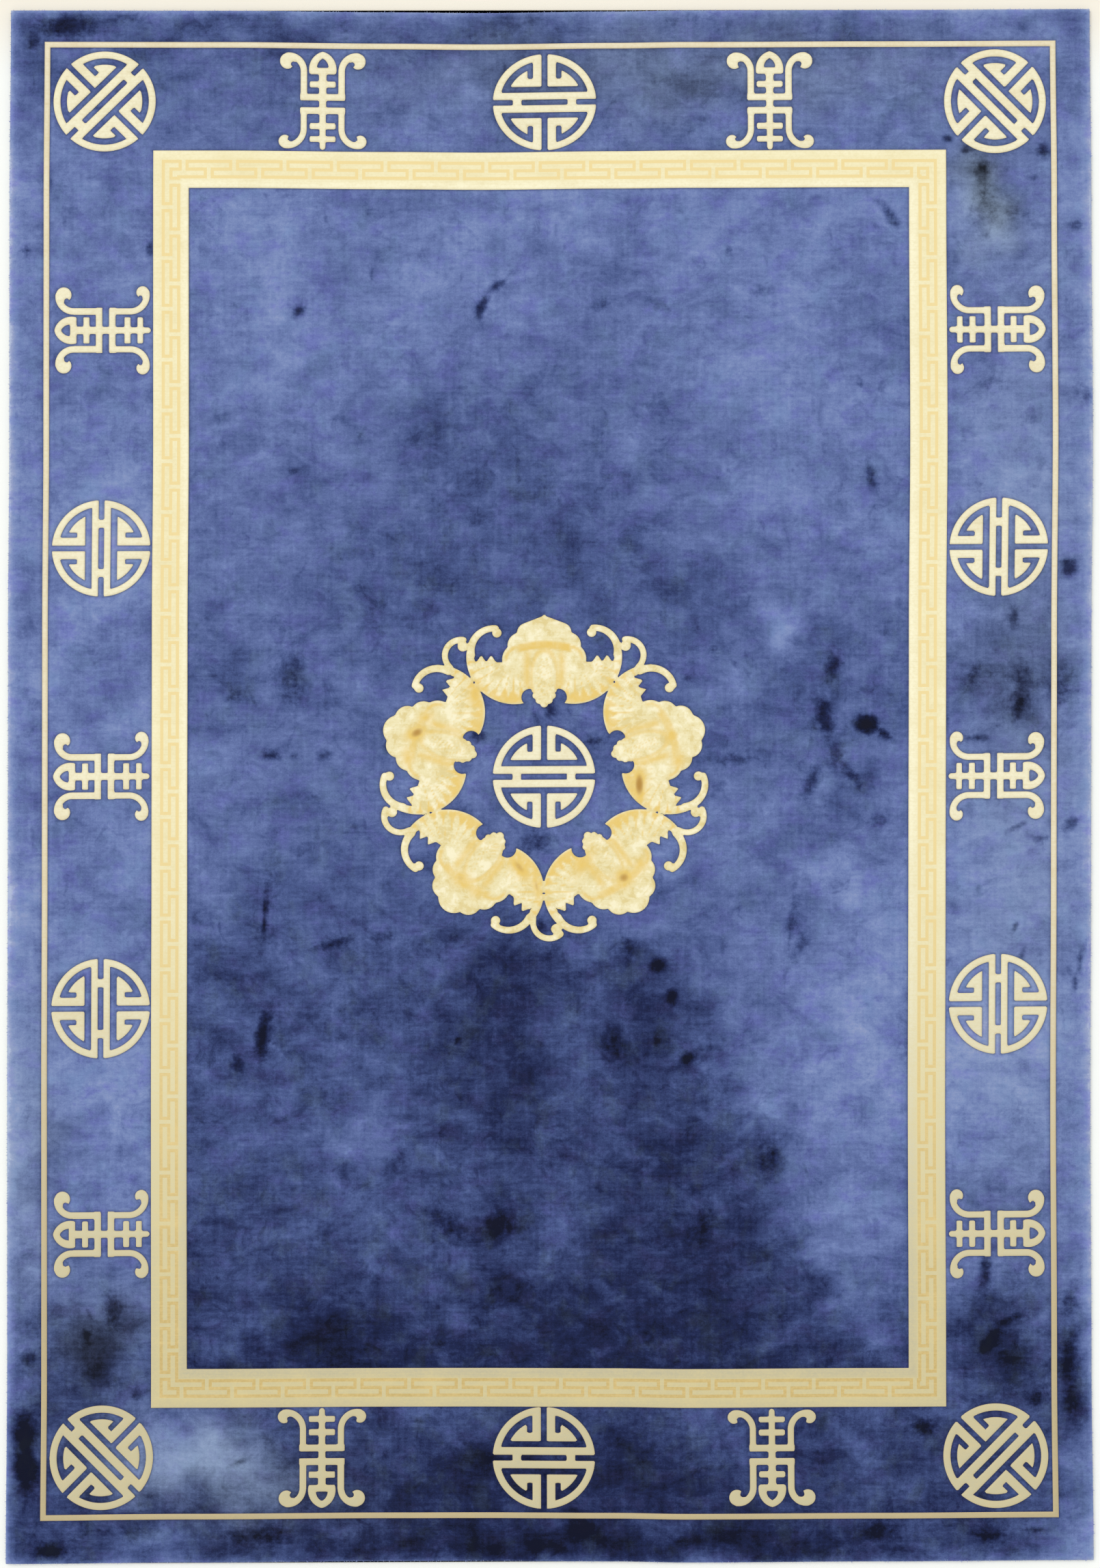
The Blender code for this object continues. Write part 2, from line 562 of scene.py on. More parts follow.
@dataclass(frozen=True)
class SignPlace:
    """One sign of the border: its kind, its middle, its turn and its size on the rug."""

    kind: SignKind
    x: float
    y: float
    turn: float
    wide: float
    tall: float

    def local(self, weave: Weave, x: Array, y: Array, own: float) -> tuple[Array, Array]:
        """Places in the sign's own frame, in which it has its plain size.

        Args:
            weave: The rug's drift, which the straight drawing leaves out.
            x: Places across the drawing.
            y: Places along the drawing.
            own: The sign's plain size.

        Returns:
            The places across and along the upright sign.
        """
        middle_x, middle_y = weave.drawn(self.x, self.y)
        return turned((x - middle_x) * own / self.wide, (y - middle_y) * own / self.tall, self.turn)


@dataclass(frozen=True)
class BorderSigns:
    """The twenty signs of the border, where the weaver put them."""

    weave: Weave
    round_sign: RoundSign = RoundSign()
    corner_sign: RoundSign = RoundSign(gap=0.0043, bar_top=0.0171, link_from=0.0466, link_to=0.0616)
    side_sign: RoundSign = RoundSign(bar_top=0.0152, link_from=0.0345, link_to=0.0475)
    long_sign: LongSign = LongSign()
    round_size: float = 0.1606
    long_size: float = 0.1515
    clear: float = 0.0060
    rows: tuple[SignPlace, ...] = (
        SignPlace(SignKind.CORNER, -0.6979, 1.0747, 45.0, 0.1606, 0.1564),
        SignPlace(SignKind.LONG, -0.3560, 1.0708, 0.0, 0.1500, 0.1540),
        SignPlace(SignKind.ROUND, -0.0081, 1.0735, 0.0, 0.1626, 0.1510),
        SignPlace(SignKind.LONG, 0.3451, 1.0716, 0.0, 0.1500, 0.1540),
        SignPlace(SignKind.CORNER, 0.6982, 1.0752, -45.0, 0.1598, 0.1626),
        SignPlace(SignKind.LONG, -0.6963, 0.7157, 90.0, 0.1515, 0.1500),
        SignPlace(SignKind.SIDE, -0.7033, 0.3736, 90.0, 0.1545, 0.1510),
        SignPlace(SignKind.LONG, -0.6984, 0.0158, 90.0, 0.1515, 0.1515),
        SignPlace(SignKind.SIDE, -0.7043, -0.3484, 90.0, 0.1545, 0.1560),
        SignPlace(SignKind.LONG, -0.6984, -0.7025, 90.0, 0.1515, 0.1500),
        SignPlace(SignKind.LONG, 0.6974, 0.7175, -90.0, 0.1515, 0.1515),
        SignPlace(SignKind.SIDE, 0.7043, 0.3763, 90.0, 0.1545, 0.1545),
        SignPlace(SignKind.LONG, 0.6963, 0.0169, -90.0, 0.1515, 0.1515),
        SignPlace(SignKind.SIDE, 0.7032, -0.3409, 90.0, 0.1545, 0.1570),
        SignPlace(SignKind.LONG, 0.6968, -0.7012, -90.0, 0.1515, 0.1515),
        SignPlace(SignKind.CORNER, -0.7032, -1.0532, -45.0, 0.1616, 0.1636),
        SignPlace(SignKind.LONG, -0.3572, -1.0483, 180.0, 0.1500, 0.1570),
        SignPlace(SignKind.ROUND, -0.0091, -1.0532, 0.0, 0.1600, 0.1600),
        SignPlace(SignKind.LONG, 0.3487, -1.0483, 180.0, 0.1500, 0.1540),
        SignPlace(SignKind.CORNER, 0.6996, -1.0498, 45.0, 0.1640, 0.1640),
    )

    def near(self, area: Lines) -> list[SignPlace]:
        """The signs that lie in an area or reach a little way into it."""
        wide = area.grown(self.round_size / 2 + self.clear)
        return [sign for sign in self.rows if wide.outside(sign.x, sign.y) < 0.0]

    def spans(self, signs: Iterable[SignPlace], along: bool) -> list[tuple[float, float]]:
        """The stretches that signs take up, with a little room.

        Args:
            signs: The signs.
            along: Whether to look along the drawing, and not across it.

        Returns:
            The ends of each stretch.
        """
        found = []
        for sign in signs:
            middle = self.weave.drawn(sign.x, sign.y)[1 if along else 0]
            half = max(sign.tall, sign.wide) / 2 + self.clear
            found.append((middle - half, middle + half))
        return found

    def reach_of(self, sign: SignPlace, x: Array, y: Array) -> Array:
        """Distances to one sign.

        Args:
            sign: The sign.
            x: Places across.
            y: Places along.

        Returns:
            The signed distances, negative inside.
        """
        if sign.kind is SignKind.LONG:
            return self.long_sign.reach(*sign.local(self.weave, x, y, self.long_size))
        forms = {SignKind.CORNER: self.corner_sign, SignKind.SIDE: self.side_sign}
        form = forms.get(sign.kind, self.round_sign)
        return form.reach(*sign.local(self.weave, x, y, self.round_size))

    def reach(self, signs: Sequence[SignPlace], x: Array, y: Array) -> Array:
        """Distances to the nearest of some signs, negative inside."""
        return union(*[self.reach_of(sign, x, y) for sign in signs])

    def long_at(self, signs: Sequence[SignPlace], x: Array, y: Array) -> Array:
        """Whether the nearest of some signs is a long one, for each place."""
        nearest = np.argmin([np.hypot(x - sign.x, y - sign.y) for sign in signs], axis=0)
        return np.array([sign.kind is SignKind.LONG for sign in signs])[nearest]


@dataclass(frozen=True)
class BatFigure:
    """One bat of the medallion, drawn upright with the medallion's middle at the origin."""

    angle: float
    pointed: bool
    linked_right: bool
    linked_left: bool

    def local(self, x: Array, y: Array) -> tuple[Array, Array]:
        """Places in the bat's own frame, whose Y runs outwards along the bat."""
        return turned(x, y, self.angle - 90.0)


@dataclass(frozen=True)
class Medallion:
    """Five bats in a ring round the middle sign, their feelers curled and linked."""

    x: float = -0.0086
    y: float = 0.0158
    half: float = 0.2720
    stretch: float = 1.02
    wing_middle: Spot = (0.0454, 0.1885)
    wing_radius: float = 0.0744
    wing_slope: float = 0.62
    wing_band_places: tuple[float, ...] = (0.020, 0.050, 0.080, 0.115)
    wing_band_widths: tuple[float, ...] = (0.0230, 0.0215, 0.0130, 0.0050)
    tooth: float = 0.0152
    tooth_height: float = 0.0115
    teeth_base: float = 0.1800
    teeth_from: float = 0.0740
    wing_reach: float = 0.1060
    feeler_shift: Spot = (-0.0035, 0.0040)
    feeler_width: float = 0.0082
    feeler_area: Lines = Lines(left=0.090, right=1.0, bottom=0.150, top=0.197)
    feeler_ball: Spot = (0.0728, 0.2262)
    lobe: Spot = (0.0400, 0.1850)
    lobe_radius: float = 0.0246
    notch: Spot = (0.0216, 0.1248)
    notch_radius: float = 0.0134
    head_middle: Spot = (0.0, 0.1330)
    head_radius: float = 0.0152
    body_middle: float = 0.1560
    body_half_width: float = 0.0200
    body_half_length: float = 0.0440
    crescent_height: float = 0.2070
    link_ball: Spot = (0.1252, 0.2050)
    curls: tuple[tuple[float, float, float], ...] = (
        (0.0000, 0.1150, 0.0062),
        (0.0078, 0.1200, 0.0054),
        (0.0126, 0.1275, 0.0054),
        (0.0140, 0.1360, 0.0052),
    )
    trunk: tuple[Lines, ...] = (
        Lines(-1.0, 0.0370, 0.1330, 0.2050),
        Lines(-1.0, 0.0640, 0.1420, 0.1800),
        Lines(-1.0, 0.0300, 0.1900, 0.2250),
    )
    bats: tuple[BatFigure, ...] = (
        BatFigure(90.0, True, True, True),
        BatFigure(18.0, False, True, False),
        BatFigure(-54.0, False, True, False),
        BatFigure(-126.0, False, False, False),
        BatFigure(162.0, False, False, True),
    )
    ochre: tuple[NapMark, ...] = patches(
        (141, 3, 10, 26, 0, 1), (201, 42, 9, 12, 0, 0.6), (-208, 85, 16, 10, 30, 0.95),
        (-195, 109, 12, 9, 40, 0.6), (-223, 47, 9, 14, 0, 0.6), (117, -143, 14, 12, 30, 0.9),
        (143, -122, 12, 10, 30, 0.6), (-140, -143, 14, 11, -30, 0.72), (-112, -164, 11, 9, 0, 0.62),
        (-47, -126, 10, 24, 40, 0.8), (-20, -156, 6, 20, 12, 0.78), (53, -118, 12, 20, -35, 0.66),
        (-116, 146, 10, 18, 0, 0.68),
    )
    ochre_fall: float = 0.8

    def wing(self, across: Array, y: Array) -> Array:
        """Distances to a wing: a crescent of a disc with teeth along its outer side.

        Args:
            across: Places to either side of the bat.
            y: Places outwards along the bat.

        Returns:
            The signed distances.
        """
        place = np.mod((across - self.teeth_from) / self.tooth, 1.0)
        comb = self.teeth_base + self.tooth_height * (1.0 - np.abs(2.0 * place - 1.0))
        top = np.where(across < self.teeth_from, self.teeth_base, comb)
        round_edge = disc(across, y, self.wing_middle, self.wing_radius)
        return within(round_edge, (y - top) * self.wing_slope, across - self.wing_reach)

    def feeler(self, across: Array, y: Array) -> Array:
        """Distances to the feeler that curls out of a wing tip.

        Args:
            across: Places to either side of the bat.
            y: Places outwards along the bat.

        Returns:
            The signed distances.
        """
        hollow = (self.wing_middle[0] + self.feeler_shift[0], self.wing_middle[1] + self.feeler_shift[1])
        edge = within(
            disc(across, y, self.wing_middle, self.wing_radius),
            -disc(across, y, hollow, self.wing_radius - self.feeler_width),
            self.feeler_area.outside(across, y),
        )
        curl = Arc((0.0770, 0.1977), 0.0358, -10.0, 104.0, (0.0059, 0.0048)).reach(across, y)
        return union(edge, curl, disc(across, y, self.feeler_ball, 0.0072))

    def tail(self, across: Array, y: Array, pointed: bool) -> Array:
        """Distances to the cloud-shaped tail, which comes to a point on the top bat.

        Args:
            across: Places to either side of the bat.
            y: Places outwards along the bat.
            pointed: Whether it is the top bat's.

        Returns:
            The signed distances.
        """
        lobes = [disc(across, y, self.lobe, self.lobe_radius), disc(across, y, (0.0364, 0.2067), 0.0200)]
        if pointed:
            lobes.append(stroke(across, y, (0.0262, 0.2262), (0.0, 0.2370), (0.0156, 0.0150)))
            lobes.append(stroke(across, y, (0.0, 0.2430), (0.0, 0.2535), (0.0120, 0.0014)))
        else:
            lobes.append(disc(across, y, (0.0222, 0.2278), 0.0196))
            lobes.append(disc(across, y, (0.0, 0.2350), 0.0240))
        return union(*lobes)

    def head(self, across: Array, y: Array) -> Array:
        """Distances to the head with its curled fur."""
        curls = [disc(across, y, curl[:2], curl[2]) for curl in self.curls]
        return union(disc(across, y, self.head_middle, self.head_radius), *curls)

    def link(self, x: Array, y: Array) -> Array:
        """Distances to the loop that ties a bat to its neighbour on the right."""
        loop = Arc((0.1277, 0.1904), 0.0250, -48.0, 146.0, (0.0044, 0.0048)).reach(x, y)
        return union(loop, disc(x, y, self.link_ball, 0.0079))

    def bat(self, figure: BatFigure, x: Array, y: Array) -> Array:
        """Distances to one bat.

        Args:
            figure: The bat.
            x: Places across its own frame.
            y: Places along its own frame.

        Returns:
            The signed distances.
        """
        across = np.abs(x)
        trunk = [box(across, y, area) for area in self.trunk]
        body = union(self.wing(across, y), *trunk, self.tail(across, y, figure.pointed))
        body = within(body, -disc(across, y, self.notch, self.notch_radius))
        parts = [body, self.feeler(across, y), self.head(across, y)]
        if figure.linked_right:
            parts.append(self.link(x, y))
        if figure.linked_left:
            parts.append(self.link(-x, y))
        return union(*parts)

    def reach(self, x: Array, y: Array) -> Array:
        """Distances to the ring of bats, negative inside."""
        from_x, from_y = (x - self.x) / self.stretch, y - self.y
        return union(*[self.bat(bat, *bat.local(from_x, from_y)) for bat in self.bats])

    def shading(self, x: Array, y: Array) -> tuple[Array, Array]:
        """How gold the bats are woven, and how deep the lines between their parts are cut.

        Args:
            x: Places across the drawing.
            y: Places along the drawing.

        Returns:
            Shares from 0, cream, to 1, gold, and shares from 0, flat, to 1, deepest.
        """
        from_x, from_y = (x - self.x) / self.stretch, y - self.y
        bearing = np.degrees(np.arctan2(from_y, from_x))
        half_share = 180.0 / len(self.bats)
        gold = np.zeros_like(x)
        cut = np.zeros_like(x)
        for bat in self.bats:
            mine = np.abs(np.mod(bearing - bat.angle + 180.0, 360.0) - 180.0) <= half_share
            bat_gold, bat_cut = self.bat_shading(bat, *bat.local(from_x, from_y))
            gold = np.where(mine, bat_gold, gold)
            cut = np.where(mine, bat_cut, cut)
        for mark in self.ochre:
            gold = np.maximum(gold, mark.strength(x, y, self.ochre_fall))
        return gold, cut

    def wing_gold(self, across: Array, y: Array) -> Array:
        """How gold a wing is: a band along its round edge that ends in barbs, and the quills.

        Args:
            across: Places to either side of the bat.
            y: Places outwards along the bat.

        Returns:
            Shares of gold.
        """
        depth = -disc(across, y, self.wing_middle, self.wing_radius)
        bearing = np.arctan2(y - self.wing_middle[1], across - self.wing_middle[0])
        comb = np.abs(np.mod(bearing * 8.5, 2.0) - 1.0)
        barbs = 0.0155 * comb + 0.0022 * np.sin(bearing * 71.0)
        width = np.interp(across, self.wing_band_places, self.wing_band_widths)
        band = smooth(width + 0.0035, width - 0.0035, depth + barbs - 0.006)
        band *= smooth(0.0004, 0.0030, depth)
        quills = smooth(0.78, 0.96, 1.0 - comb)
        quills *= smooth(0.0020, 0.0060, depth) * smooth(0.0600, 0.0300, depth)
        on_wing = smooth(0.0170, 0.0230, across) * smooth(0.1960, 0.1780, y)
        return on_wing * np.maximum(band * 0.56, quills * 0.54)

    def tail_gold(self, figure: BatFigure, across: Array, y: Array) -> Array:
        """How gold a tail is: a crescent across it, a spot on it and the shade of its lobes.

        Args:
            figure: The bat.
            across: Places to either side of the bat.
            y: Places outwards along the bat.

        Returns:
            Shares of gold.
        """
        middle = self.crescent_middle(across)
        crescent = smooth(0.0090, 0.0035, np.abs(y - middle)) * smooth(0.0450, 0.0370, across)
        lobe = disc(across, y, self.lobe, self.lobe_radius)
        shoulder = smooth(0.0045, 0.0010, np.abs(lobe + 0.0060)) * smooth(0.0300, 0.0400, across)
        shoulder = 0.46 * shoulder * smooth(0.1780, 0.1880, y)
        if figure.pointed:
            return np.maximum(crescent * 0.63, shoulder)
        spot = smooth(0.0150, 0.0050, np.hypot(across, (y - self.crescent_height) * 1.3))
        return np.maximum.reduce([crescent * 0.46, spot * 0.60, shoulder])

    def crescent_middle(self, across: Array) -> Array:
        """Where the middle of the crescent across a tail lies."""
        return self.crescent_height - 0.0055 * (across / 0.0400) ** 2

    def bat_shading(self, figure: BatFigure, x: Array, y: Array) -> tuple[Array, Array]:
        """The same shares for one bat.

        Args:
            figure: The bat.
            x: Places across its own frame.
            y: Places along its own frame.

        Returns:
            Shares of gold, and shares of the deepest cut.
        """
        across = np.abs(x)
        beside = np.exp(-(((across - 0.0265) / 0.0060) ** 2))
        beside *= smooth(0.1340, 0.1480, y) * smooth(0.2060, 0.1860, y)
        from_middle = (y - self.body_middle) / self.body_half_length
        body = np.hypot(across / self.body_half_width, from_middle)
        above_head = smooth(0.1240, 0.1400, y)
        outline = smooth(0.20, 0.05, np.abs(body - 1.0)) * above_head
        spine = np.abs(np.mod(y / 0.0062 + across / 0.0090, 1.0) - 0.5)
        spine *= smooth(0.0150, 0.0110, across)
        plait = smooth(0.34, 0.46, spine) * smooth(0.85, 0.60, body)
        gold = [self.wing_gold(across, y), self.tail_gold(figure, across, y)]
        gold += [beside * 0.50, outline * 0.40, plait * 0.34]
        below_crescent = np.abs(y - self.crescent_middle(across) + 0.0075)
        cut = np.maximum(
            smooth(0.14, 0.02, np.abs(body - 1.0)) * above_head,
            smooth(0.0030, 0.0008, below_crescent) * smooth(0.0460, 0.0380, across),
        )
        return np.maximum.reduce(gold), cut


def ruled(
    start: float, end: float, spans: Sequence[tuple[float, float]], fine: float, coarse: float
) -> list[float]:
    """Places of the ruled lines between two ends, close together in some spans.

    Args:
        start: The first line.
        end: The last line.
        spans: The stretches that need close lines.
        fine: The spacing there.
        coarse: The spacing elsewhere.

    Returns:
        The lines' places in order.
    """
    stops = {start, end}
    for low, high in spans:
        stops.update((max(low, start), min(high, end)))
    ordered = sorted(stops)
    lines = [start]
    for low, high in zip(ordered, ordered[1:]):
        middle = (low + high) / 2
        close = any(span[0] <= middle <= span[1] for span in spans)
        steps = max(1, round((high - low) / (fine if close else coarse)))
        lines += [low + (high - low) * step / steps for step in range(1, steps + 1)]
    return lines


def evenly(start: float, end: float, cell: float) -> list[float]:
    """Places of ruled lines that are all about the same distance apart."""
    return ruled(start, end, [], cell, cell)


def with_lines(lines: Iterable[float], extra: Iterable[float], apart: float) -> list[float]:
    """Ruled lines with some that have to be there, and none of the others too close to them.

    Args:
        lines: The plain lines.
        extra: The lines that have to be there.
        apart: How close a plain line may come to one of them.

    Returns:
        All the places in order.
    """
    fixed = sorted(extra)
    low, high = min(fixed), max(fixed)
    kept = [place for place in lines if all(abs(place - other) >= apart for other in fixed)]
    return sorted(fixed + [place for place in kept if low < place < high])


def pulled_out(
    mesh: bmesh.types.BMesh, edges: Iterable[bmesh.types.BMEdge]
) -> tuple[list[bmesh.types.BMVert], list[bmesh.types.BMEdge]]:
    """Extrudes a ring of edges.

    Args:
        mesh: The mesh.
        edges: The ring's edges.

    Returns:
        The new ring's points and edges.
    """
    made = bmesh.ops.extrude_edge_only(mesh, edges=list(edges))["geom"]
    points = [item for item in made if isinstance(item, bmesh.types.BMVert)]
    held = set(points)
    links = [item for item in made if isinstance(item, bmesh.types.BMEdge)]
    return points, [link for link in links if held.issuperset(link.verts)]


class PileSheet:
    """An area of pile in the straight drawing: ruled, cut along outlines and closed."""

    REACH = "reach"
    CUT = "inner_cut"
    FAR = 1.0
    TOUCH = 1e-6
    SHORTEST = 0.08

    def __init__(self, across: Sequence[float], along: Sequence[float]) -> None:
        """Rules the sheet.

        Args:
            across: The places of its lines across the drawing.
            along: The places of its lines along the drawing.
        """
        self.mesh = bmesh.new()
        wide = len(across) - 1
        long = len(along) - 1
        bmesh.ops.create_grid(self.mesh, x_segments=wide, y_segments=long, size=1.0)
        reach = self.mesh.verts.layers.float.new(self.REACH)
        for vertex in self.mesh.verts:
            column = round((vertex.co.x + 1.0) / 2.0 * wide)
            row = round((vertex.co.y + 1.0) / 2.0 * long)
            vertex.co = (across[column], along[row], 1.0)
            vertex[reach] = self.FAR

    def places(self) -> tuple[Array, Array]:
        """The places of all points across and along the drawing."""
        flat = np.array([vertex.co[:2] for vertex in self.mesh.verts])
        return flat[:, 0], flat[:, 1]

    def middles(self) -> tuple[Array, Array]:
        """The places of all faces' middles."""
        flat = np.array([face.calc_center_median()[:2] for face in self.mesh.faces])
        return flat[:, 0], flat[:, 1]

    def write(self, name: str, values: Array) -> None:
        """Gives the points a number of their own."""
        layer = self.mesh.verts.layers.float.new(name)
        for vertex, value in zip(self.mesh.verts, values):
            vertex[layer] = value

    def drop(self, marked: Array) -> "PileSheet":
        """Removes some faces.

        Args:
            marked: Which faces go.

        Returns:
            The same sheet.
        """
        faces = [face for face, gone in zip(self.mesh.faces, marked) if gone]
        bmesh.ops.delete(self.mesh, geom=faces, context="FACES")
        return self

    def hollow(self, area: Lines) -> "PileSheet":
        """Removes the faces inside a rectangle."""
        return self.drop(area.outside(*self.middles()) < 0.0)

    def cut_out(self, outline: Outline, levels: Sequence[float]) -> None:
        """Cuts the faces along some distances from an outline.

        Args:
            outline: What measures the points.
            levels: The distances.
        """
        reach = self.mesh.verts.layers.float[self.REACH]
        for vertex, value in zip(self.mesh.verts, outline(*self.places())):
            vertex[reach] = value
        for level in levels:
            self.cut_level(level)

    def cut_level(self, level: float) -> None:
        """Cuts the faces along one distance from the outline.

        Args:
            level: The distance, negative inside.
        """
        mesh = self.mesh
        reach = mesh.verts.layers.float[self.REACH]
        mesh.verts.index_update()
        values = np.array([vertex[reach] for vertex in mesh.verts]) - level
        values[np.abs(values) < self.TOUCH] = self.TOUCH
        edges = list(mesh.edges)
        ends = np.array([[vertex.index for vertex in edge.verts] for edge in edges])
        crossed = np.nonzero(values[ends[:, 0]] * values[ends[:, 1]] < 0.0)[0]
        made = []
        for place in crossed:
            edge = edges[place]
            low, high = values[ends[place]]
            share = min(max(low / (low - high), self.SHORTEST), 1.0 - self.SHORTEST)
            _, vertex = bmesh.utils.edge_split(edge, edge.verts[0], share)
            vertex[reach] = level
            made.append(vertex)
        bmesh.ops.connect_verts(mesh, verts=made)

    def face_reach(self) -> Array:
        """The mean distance of each face's points from the outline."""
        reach = self.mesh.verts.layers.float[self.REACH]
        return np.array([np.mean([corner[reach] for corner in face.verts]) for face in self.mesh.faces])

    def copy(self) -> "PileSheet":
        """A second sheet with the same faces.

        Returns:
            The second sheet.
        """
        twin = PileSheet.__new__(PileSheet)
        twin.mesh = self.mesh.copy()
        return twin

    def close(self, floor: float) -> "PileSheet":
        """Gives the sheet walls and an underside, so that it is one closed solid or several.

        Args:
            floor: The level of the underside's points.

        Returns:
            The same sheet.
        """
        mesh = self.mesh
        rim = [edge for edge in mesh.edges if edge.is_boundary]
        lower, ring = pulled_out(mesh, rim)
        for vertex in lower:
            vertex.co.z = floor
        bmesh.ops.triangle_fill(mesh, use_beauty=False, use_dissolve=False, edges=ring)
        bmesh.ops.recalc_face_normals(mesh, faces=mesh.faces)
        return self


